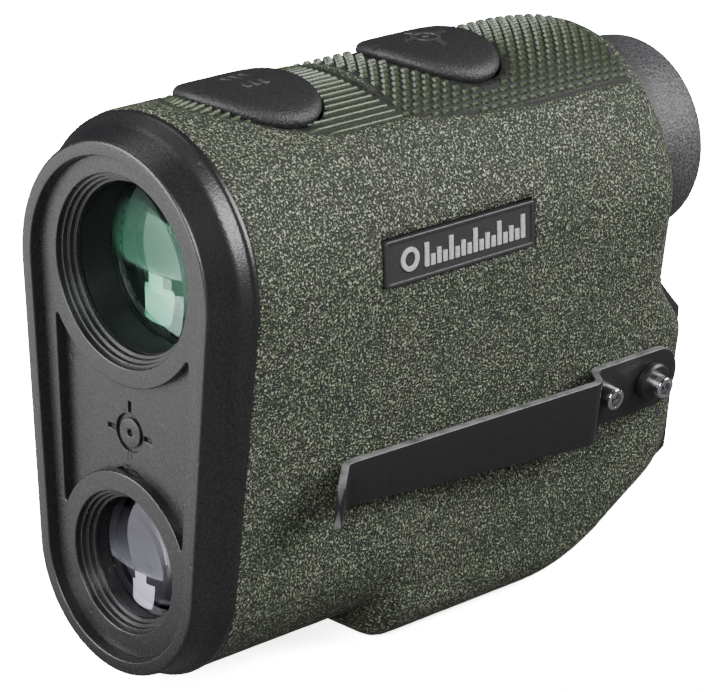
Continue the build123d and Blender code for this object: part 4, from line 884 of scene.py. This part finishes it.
# %% Filled outlines
def filled(outlines, thickness, soften):
    """A flat plate from outlines, inner ones as holes: points (right, up, out) and face lists."""
    curve = bpy.data.curves.new("outline", "CURVE")
    curve.dimensions = "2D"
    curve.fill_mode = "BOTH"
    curve.extrude = thickness / 2 - soften
    curve.bevel_depth = soften
    curve.bevel_resolution = 2
    curve.offset = -soften
    for outline in outlines:
        line = curve.splines.new("POLY")
        line.points.add(len(outline) - 1)
        line.points.foreach_set("co", np.column_stack([outline, np.zeros((len(outline), 2))]).ravel())
        line.use_cyclic_u = True
    holder = bpy.data.objects.new("outline", curve)
    mesh = bpy.data.meshes.new_from_object(holder)
    points = np.empty(len(mesh.vertices) * 3)
    mesh.vertices.foreach_get("co", points)
    faces = [tuple(face.vertices) for face in mesh.polygons]
    bpy.data.objects.remove(holder)
    bpy.data.curves.remove(curve)
    bpy.data.meshes.remove(mesh)
    points = points.reshape(-1, 3)
    points[:, 2] = points[:, 2] + thickness / 2
    return points, faces


def loose_piece(name, points, faces, body, slot, finish=None):
    """Makes a flat-faced piece from points in mm and a plain list of faces."""
    mesh = bpy.data.meshes.new(name)
    mesh.from_pydata((np.asarray(points) * MM).tolist(), [], faces)
    made = dressed(name, mesh, body, slot, (), 32.0, 0.002, finish)
    even = made.modifiers.new("even", "WEIGHTED_NORMAL")
    even.keep_sharp = True
    even.weight = 90
    return made


def facing_front(points, depth):
    """Lays a plate's (right, up, out) points on the plane at a depth, facing the front."""
    return to_row(np.column_stack([points[:, 0], depth + thickness_of(points) - points[:, 2], points[:, 1]]))


def thickness_of(points):
    """The out value of a plate's front face."""
    return points[:, 2].max()


def circle(radius, centre_z=0.0, count=96, centre_x=0.0):
    """Points round a circle."""
    turn = np.linspace(0.0, 2 * np.pi, count, endpoint=False)
    return np.column_stack([centre_x + radius * np.sin(turn), centre_z + radius * np.cos(turn)])


def rectangle(half_x, half_z, centre=(0.0, 0.0), turn=0.0):
    """The four corners of a turned rectangle."""
    corners = np.array([(-1, -1), (1, -1), (1, 1), (-1, 1)]) * np.array([half_x, half_z])
    spin = np.array([[math.cos(turn), -math.sin(turn)], [math.sin(turn), math.cos(turn)]])
    return corners @ spin.T + np.array(centre)


print("a plate can be filled from circles, rectangles and any outline")

# %% The bezel's face and pocket
FACE_DEPTH, POCKET_DEPTH, PLATE_T = 1.6, 3.1, 1.9
EYE_BORE, LASER_BORE = 13.9, 10.54
POCKET_TOP_R, POCKET_LOW_R = 16.7, 13.6
POCKET_TOP_HALF, POCKET_LOW_HALF = 14.25, 12.68
POCKET_TOP_Z, POCKET_LOW_Z = EYE_Z - 8.8, LASER_Z + 5.0


def pocket(grow=0.0):
    """The pocket's outline: an arc round each bore, straight sides between, four soft corners."""
    reach = 0.105
    top_end = math.asin(POCKET_TOP_HALF / POCKET_TOP_R) - reach
    low_end = math.asin(POCKET_LOW_HALF / POCKET_LOW_R) - reach
    top_turn = np.linspace(top_end, -top_end, 40)
    low_turn = np.linspace(-low_end, low_end, 40)
    top_r, low_r = POCKET_TOP_R - grow, POCKET_LOW_R - grow
    top = np.column_stack([top_r * np.sin(top_turn), EYE_Z - top_r * np.cos(top_turn)])
    low = np.column_stack([low_r * np.sin(low_turn), LASER_Z + low_r * np.cos(low_turn)])
    t = np.linspace(0.0, 1.0, 9)[:, None]

    def bend(first, corner, last):
        return (1 - t) ** 2 * first + 2 * t * (1 - t) * corner + t**2 * last

    corners = []
    for sign in (-1, 1):
        high = np.array([sign * (POCKET_TOP_HALF + grow), POCKET_TOP_Z])
        base = np.array([sign * (POCKET_LOW_HALF + grow), POCKET_LOW_Z])
        way = (base - high) / np.linalg.norm(base - high)
        corners.append((high, base, way))
    left, right = corners
    return np.concatenate([
        top,
        bend(top[-1], left[0], left[0] + left[2] * 1.7)[1:],
        bend(left[1] - left[2] * 2.2, left[1], low[0]),
        low[1:],
        bend(low[-1], right[1], right[1] - right[2] * 2.2)[1:],
        bend(right[0] + right[2] * 1.7, right[0], top[0])[:-1],
    ])


edge_x, edge_z = oval(17.62, 14.52)
outer = np.column_stack([edge_x[0], edge_z[0]])
points, faces = filled([outer, circle(EYE_BORE, EYE_Z), circle(LASER_BORE, LASER_Z), pocket()], PLATE_T, 0.22)
loose_piece("front_bezel_face", facing_front(points, FACE_DEPTH), faces, "chassis", "bezel_plastic")

MARK_Z = 40.4
mark = [circle(2.9, MARK_Z, 64), circle(2.2, MARK_Z, 64)]
for turn in (0.0, 0.5, 1.0, 1.5):
    away = np.array([math.sin(turn * math.pi), math.cos(turn * math.pi)])
    mark.append(rectangle(0.35, 0.85, (away[0] * 3.9, MARK_Z + away[1] * 3.9), -turn * math.pi))
mark.append(circle(0.55, MARK_Z, 32))
points, faces = filled([pocket(0.5), *mark], 0.7, 0.1)
loose_piece("front_bezel_floor", facing_front(points, POCKET_DEPTH), faces, "chassis", "bezel_plastic")
points, faces = filled([rectangle(6.0, 6.0, (0.0, MARK_Z))], 0.3, 0.05)
loose_piece("front_bezel_mark_floor", facing_front(points, POCKET_DEPTH + 0.5), faces, "chassis",
            "bezel_plastic")

# %% The bores
LEDGES, LEDGE_WIDE, LEDGE_DEEP = 3, 0.5, 0.8


def bore_profile(radius):
    """A turned profile of inward ledges: each is deeper and narrower than the one before."""
    corners = [(FACE_DEPTH + LEDGE_DEEP, radius + 0.3)]
    for ledge in range(LEDGES):
        inner = radius - (ledge + 1) * LEDGE_WIDE
        corners.append((FACE_DEPTH + (ledge + 1) * LEDGE_DEEP, inner))
        corners.append((FACE_DEPTH + (ledge + 2) * LEDGE_DEEP, inner))
    corners.append((corners[-1][0], radius + 0.3))
    return closed_rounded(corners, 0.13, steps=3)


turned("front_bezel_upper_bore", bore_profile(EYE_BORE), EYE_Z, "chassis", "bezel_plastic",
       columns=160, closed=True, angle=40.0)
turned("front_bezel_lower_bore", bore_profile(LASER_BORE), LASER_Z, "chassis", "bezel_plastic",
       columns=128, closed=True, angle=40.0)

# %% [markdown]
# ## Lenses
# A lens shows what it mirrors, so its curves must be smooth. Each one is turned from two
# spherical arcs and an edge, as a closed solid, and the glass shader does the rest.

# %% Lenses
def cap_rise(radius, edge, sag):
    """How far a spherical cap of a given edge radius and sag has fallen away at a radius."""
    curve = (edge**2 + sag**2) / (2 * sag)
    return curve - np.sqrt(curve**2 - radius**2)


def lens(name, front_sag, rear_sag, axis_z):
    """A turned lens between the front and rear of its node, with its two sags."""
    low, high = (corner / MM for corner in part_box(name))
    edge = high.x
    radius = np.sin(np.linspace(0.0, np.pi / 2, 40)) * (edge - 0.15)
    front = np.column_stack([low.y - FRONT + cap_rise(radius, edge, front_sag), radius])
    rear = np.column_stack([high.y - FRONT - cap_rise(radius, edge, rear_sag), radius])
    bevel = [(front[-1, 0] + 0.15, edge), (rear[-1, 0] - 0.15, edge)]
    profile = np.concatenate([front, bevel, rear[::-1]])
    return turned(name + "_glass", profile, axis_z, "chassis", slot_of[name], [name], columns=96)


lens("objective_lens", 2.2, 1.4, EYE_Z)
lens("receiver_lens", 1.3, 0.6, LASER_Z)
spacer_low, spacer_high = (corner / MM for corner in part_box("objective_spacer"))
rim_depth = spacer_high.y - FRONT
spacer = [(spacer_low.y - FRONT, 12.3), (rim_depth - 0.5, 12.3), (rim_depth - 0.15, 11.1), (rim_depth, 11.0),
          (rim_depth, spacer_high.x), (spacer_low.y - FRONT, spacer_high.x)]
turned("objective_spacer_ring", spacer, EYE_Z, "chassis", "barrel_aluminium", ["objective_spacer"],
       columns=144, closed=True)
turned("objective_spacer_rim", [(rim_depth - 0.36, 11.2), (rim_depth - 0.46, 11.02), (rim_depth - 0.2, 10.9),
                                (rim_depth - 0.1, 11.1)], EYE_Z, "chassis", "barrel_aluminium",
       columns=144, closed=True, finish="screw_steel")

# %% [markdown]
# ## Buttons
# Each button is an egg seen from above, fuller behind than in front, on a crown a little larger
# than the armour's. Rings of the egg, each inset and lowered by a station, make its rounded rim.

# %% Buttons
BUTTON_MIDDLE = 9.0        # the inset that reaches the middle
BUTTON_STATIONS = np.array([
    (BUTTON_MIDDLE, 0.0), (7.0, 0.0), (5.0, 0.0), (3.4, 0.0), (2.2, 0.0), (1.5, 0.0), (1.0, -0.03),
    (0.62, -0.12), (0.34, -0.28), (0.14, -0.52), (0.03, -0.80), (0.0, -1.15), (0.3, -1.9), (0.8, -1.9),
    (BUTTON_MIDDLE, -1.9),
])
CROWN_R = BUTTON_BOXES["menu_button"][1].z / MM - TOP_Z
ICON_SINK = 0.36


def egg(count=220):
    """Across and along values round the button's outline."""
    turn = np.linspace(0.0, 2 * np.pi, count, endpoint=False)
    across, along = np.sin(turn), np.cos(turn)
    power = 2 / np.where(along < 0, FRONT_FULL, REAR_FULL)
    reach = np.where(along < 0, BUTTON_FRONT, BUTTON_REAR)
    return np.column_stack([BUTTON_HALF * np.sign(across) * np.abs(across) ** power,
                            reach * np.sign(along) * np.abs(along) ** power])


def on_crown(x, depth, lift):
    """Points over the crown at a height above it."""
    return np.stack([x, depth, TOP_Z + np.sqrt((CROWN_R + lift) ** 2 - x**2)], -1)


def button(name, body):
    """A button's shell: the egg inset and lowered from station to station."""
    outline = egg()
    share = 1 - BUTTON_STATIONS[:, 0] / BUTTON_MIDDLE
    x = share[:, None] * outline[:, 0]
    depth = BUTTON_DEPTHS[name] + share[:, None] * outline[:, 1]
    lift = np.broadcast_to(BUTTON_STATIONS[:, 1:], x.shape)
    return piece(name + "_shell", to_row(on_crown(x, depth, lift).reshape(-1, 3)),
                 cells_of(*x.shape, wrap_columns=True), body, "button_rubber", [name], angle=60.0)


def icon(name, button_name, body, outlines):
    """Raised marks on a button: a thin plate bent over its crown."""
    points, faces = filled(outlines, 0.5, 0.08)
    x, depth = points[:, 0], BUTTON_DEPTHS[button_name] - points[:, 1]
    on_top = on_crown(x, depth, points[:, 2] - ICON_SINK)
    loose_piece(name, to_row(on_top), faces, body, "button_rubber", finish="button_mark")


finishes["button_mark"] = moulded("button_mark", (0.02, 0.02, 0.021), (0.06, 0.06, 0.062), 0.40, 0.02,
                                  scale=3000.0, pits=150.0)
button("menu_button", "menu_key")
button("measure_button", "measure_key")
bars = [rectangle(2.9, 0.42, (0.0, shift)) for shift in (-1.7, 0.0, 1.7)]
icon("menu_button_icon", "menu_button", "menu_key", bars)
ticks = [rectangle(0.4, 0.95, (math.sin(a) * 3.1, math.cos(a) * 3.1), -a)
         for a in (0.0, math.pi / 2, math.pi, 1.5 * math.pi)]
icon("measure_button_icon", "measure_button", "measure_key",
     [circle(2.3, 0.0, 64), circle(1.65, 0.0, 64), circle(0.5, 0.0, 24), *ticks])

# %% [markdown]
# ## Badge
# The badge lies on the armour's shoulder. Its border, its sunken field and its marks catch the
# light differently, so all three are real steps. The marks are a plain range scale.

# %% Badge
def slab(outline, stations):
    """Stacks an outline(inset) at (inset, out) stations, and closes both ends to their middles."""
    rows = []
    for inset, out in stations:
        ring = outline(inset)
        rows.append(np.column_stack([ring, np.full(len(ring), out)]))
    first, last = rows[0], rows[-1]
    rows = [np.tile(first.mean(0), (len(first), 1)), *rows, np.tile(last.mean(0), (len(last), 1))]
    return np.array(rows)


def on_plane(points, origin, right, up):
    """Carries (right, up, out) values onto a plane given by two of its directions."""
    right, up = np.array(right, float), np.array(up, float)
    out = np.cross(right, up)
    return np.array(origin) + points[..., :1] * right + points[..., 1:2] * up + points[..., 2:] * out


def rounded_rectangle(half_u, half_v, corner):
    """An outline that can be inset, with soft corners."""
    def outline(inset):
        round_now = max(corner - inset, 0.08)
        return closed_rounded(rectangle(half_u - inset, half_v - inset), round_now, steps=4)
    return outline


badge_turn = math.radians(3.2)
badge_origin = (TOP_R * math.cos(badge_turn), FRONT + BADGE_DEPTH, TOP_Z + TOP_R * math.sin(badge_turn))
badge_up = (-math.sin(badge_turn), 0.0, math.cos(badge_turn))
BADGE_STATIONS = [(0.0, -0.7), (0.0, 0.18), (0.04, 0.26), (0.12, 0.30), (0.48, 0.30), (0.56, 0.26),
                  (0.62, 0.05), (1.0, 0.05), (3.2, 0.05)]
plate = slab(rounded_rectangle(BADGE_LENGTH / 2, BADGE_HEIGHT / 2, 0.5), BADGE_STATIONS)
rows, columns = plate.shape[:2]
piece("badge_plate_body", on_plane(plate, badge_origin, (0, 1, 0), badge_up).reshape(-1, 3),
      cells_of(rows, columns, wrap_columns=True), "chassis", "badge_metal", ["badge_plate"], angle=40.0)
finishes["badge_silver"] = moulded("badge_silver", (0.34, 0.34, 0.34), (0.52, 0.52, 0.52), 0.30, 0.02,
                                   pits=60.0)
scale = [circle(1.75, 0.0, 48, -10.2), circle(1.05, 0.0, 48, -10.2)]
for place in range(17):
    half = (1.75, 0.8, 1.15, 0.8)[place % 4]
    scale.append(rectangle(0.36, half, (-6.9 + 1.22 * place, half - 1.75)))
points, faces = filled(scale, 0.3, 0.06)
loose_piece("badge_plate_scale", on_plane(points, badge_origin, (0, 1, 0), badge_up), faces, "chassis",
            "badge_metal", finish="badge_silver")

# %% [markdown]
# ## Belt clip
# The clip is one bent strap. Its path runs from the screwed base up a short step and forward
# to a lip, and a rounded section is carried along it.

# %% The strap
CLIP_Z = LASER_Z + 11.9
clip_rise = (CLIP_Z - TOP_Z + TOP_R * math.sin(LEAN)) / math.cos(LEAN)
clip_origin = np.array([TOP_R * math.cos(LEAN) + clip_rise * math.sin(LEAN), FRONT, CLIP_Z])
side_up = np.array([math.sin(LEAN), 0.0, math.cos(LEAN)])
CLIP_T, CLIP_PAD = 1.2, 0.3
STRAP_PATH = [(95.6, 0.9, 4.9), (76.6, 0.9, 4.9), (73.9, 4.8, 5.2), (25.3, 0.9, 3.5), (19.7, 5.9, 3.2)]
strap = rounded(STRAP_PATH, [0.0, 1.4, 1.3, 1.1, 0.0], steps=8)
rear_part = np.column_stack([95.6 - 4.6 * (1 - np.cos(np.linspace(0.0, np.pi / 2, 12))), np.full(12, 0.9)])
rear_half = 0.3 + 4.6 * np.sin(np.linspace(0.0, np.pi / 2, 12))
strap = np.concatenate([np.column_stack([rear_part, rear_half]), strap[1:]])
between = np.linspace(0, len(strap) - 1, 3 * len(strap))
strap = np.column_stack([np.interp(between, np.arange(len(strap)), strap[:, k]) for k in range(3)])
forward = np.gradient(strap[:, :2], axis=0)
forward = forward / np.linalg.norm(forward, axis=1, keepdims=True)
normal = np.column_stack([-forward[:, 1], forward[:, 0]])
normal = normal * np.sign(normal[:1, 1])


def strap_section(half):
    """Round a strap's section: (through, up) points with a small round on each edge."""
    return closed_rounded(rectangle(CLIP_T / 2, half), 0.22, steps=4)


sections = np.array([strap_section(half) for half in strap[:, 2]])
ends = np.concatenate([[0.0], np.ones(len(strap)), [0.0]])
index = np.concatenate([[0], np.arange(len(strap)), [len(strap) - 1]])
through = sections[index, :, 0] * ends[:, None]
upward = sections[index, :, 1] * ends[:, None]
depth = strap[index, 0][:, None] + normal[index, 0][:, None] * through
out = strap[index, 1][:, None] + normal[index, 1][:, None] * through
local = np.stack([depth, upward, out], -1)
# The edge mark says where the clip's finish paints a highlight along the strap's edges.
half_height = np.abs(sections[index, :, 1]).max(1, keepdims=True)
near_edge = ease(np.abs(upward), half_height - 0.12, half_height - 0.02)
piece("belt_clip_strap", on_plane(local, clip_origin, (0, 1, 0), side_up).reshape(-1, 3),
      cells_of(*depth.shape, wrap_columns=True), "chassis", "clip_steel", ["belt_clip"], angle=50.0,
      marks={"edge": near_edge})

# %% Screws and washer
def spun_on_side(name, profile, depth, slot, replaces=(), columns=72, six=None):
    """Turns (out, radius) stations about an axis out of the clip's side; six marks hexagon rings."""
    profile = np.asarray(profile, float)
    turn = np.linspace(0.0, 2 * np.pi, columns, endpoint=False)
    radius = np.repeat(profile[:, 1:2], columns, axis=1)
    if six is not None:
        corner = np.cos((turn + np.pi / 6) % (np.pi / 3) - np.pi / 6)
        radius[six] = radius[six] * math.cos(math.pi / 6) / corner
    local = np.stack([depth + radius * np.cos(turn), radius * np.sin(turn),
                      np.repeat(profile[:, :1], columns, axis=1)], -1)
    return piece(name, on_plane(local, clip_origin, (0, 1, 0), side_up).reshape(-1, 3),
                 cells_of(len(profile), columns, wrap_columns=True), "chassis", slot, replaces,
                 angle=38.0)


STRAP_FACE = CLIP_PAD + CLIP_T
WASHER_T = 1.4
FRONT_SCREW, REAR_SCREW, HEAD_T = 79.9, 89.6, 2.0
for place, (screw_depth, seat) in enumerate(((FRONT_SCREW, STRAP_FACE), (REAR_SCREW, STRAP_FACE + WASHER_T))):
    top = seat + HEAD_T
    head = [(top - 1.05, 0.0), (top - 1.0, 1.16), (top - 0.10, 1.18), (top, 1.26), (top, 1.50),
            (top - 0.05, 1.62), (top - 0.2, 1.71), (top - 0.40, 1.75), (seat, 1.75), (seat, 1.0),
            (-5.0, 1.0), (-5.6, 0.6), (-5.6, 0.0)]
    spun_on_side(f"clip_screw_{place + 1}", head, screw_depth, "screw_chrome",
                 ["clip_screws"] if place == 0 else (), six=slice(1, 4))
WASHER_RING = [(0.0, 1.05), (0.0, 2.9), (0.2, 3.1), (1.1, 3.1), (WASHER_T, 2.75), (WASHER_T, 1.2),
               (1.2, 1.05), (0.0, 1.05)]
spun_on_side("clip_washer_ring", [(STRAP_FACE + out, radius) for out, radius in WASHER_RING], REAR_SCREW,
             "clip_steel", ["clip_washer"])

# %% [markdown]
# ## Eyepiece
# The eyecup and the sleeve it slides on are turned. A wave round the sleeve's turn gives it
# fine grooves, which show when the cup is drawn out.

# %% Eyepiece
cup_low, cup_high = (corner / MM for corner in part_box("eyecup"))
CUP_R = cup_high.x
CUP_FRONT, CUP_REAR = cup_low.y - FRONT, cup_high.y - FRONT
SLEEVE_R = 14.4
CUP_CORNERS = [
    (CUP_FRONT, SLEEVE_R + 0.25), (CUP_FRONT, CUP_R), (CUP_REAR - 4.5, CUP_R - 0.05), (CUP_REAR, CUP_R - 0.6),
    (CUP_REAR, 11.4), (CUP_REAR - 0.9, 11.0), (CUP_REAR - 2.4, 11.0), (CUP_REAR - 2.4, SLEEVE_R + 0.25),
]
turned("eyecup_shell", closed_rounded(CUP_CORNERS, [0.2, 0.3, 3.0, 1.3, 0.5, 0.4, 0.2, 0.2], steps=8), EYE_Z,
       "cup", "eyecup_rubber", ["eyecup"], columns=144, closed=True, angle=50.0)
ring_low, ring_high = (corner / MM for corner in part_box("diopter_ring"))
RING_FRONT, RING_REAR = ring_low.y - FRONT, ring_high.y - FRONT


def knurl(depth, radius, turn):
    """Fine lengthwise grooves on the sleeve's outside, fading out at its ends."""
    inner = ease(radius, SLEEVE_R - 0.3, SLEEVE_R - 0.05)
    ends = ease(depth, RING_FRONT, RING_FRONT + 0.5) * (1 - ease(depth, RING_REAR - 0.5, RING_REAR))
    return -0.12 * inner * ends * (0.5 + 0.5 * np.cos(72 * turn))


SLEEVE_BORE = 13.3
sleeve = np.array([(RING_FRONT, SLEEVE_BORE), (RING_FRONT, SLEEVE_R - 0.2), (RING_FRONT + 0.2, SLEEVE_R),
                   *[(d, SLEEVE_R) for d in np.linspace(RING_FRONT + 0.6, RING_REAR - 0.6, 12)],
                   (RING_REAR - 0.2, SLEEVE_R), (RING_REAR, SLEEVE_R - 0.2), (RING_REAR, SLEEVE_BORE)])
turned("diopter_ring_sleeve", sleeve, EYE_Z, "diopter", "eyepiece_plastic", ["diopter_ring"],
       columns=432, closed=True, swell=knurl, angle=50.0)
lens_low, lens_high = (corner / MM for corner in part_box("eye_lens"))
radius = np.sin(np.linspace(0.0, np.pi / 2, 40)) * (lens_high.x - 0.1)
rear_face = np.column_stack([lens_high.y - FRONT - cap_rise(radius, lens_high.x, 1.1), radius])
front_face = np.column_stack([lens_low.y - FRONT + cap_rise(radius, lens_high.x, 1.1), radius])
turned("eye_lens_glass", np.concatenate([front_face, rear_face[::-1]]), EYE_Z, "ocular", "eye_glass",
       ["eye_lens"], columns=96)
print("eyecup spans", round(CUP_FRONT, 2), "to", round(CUP_REAR, 2))
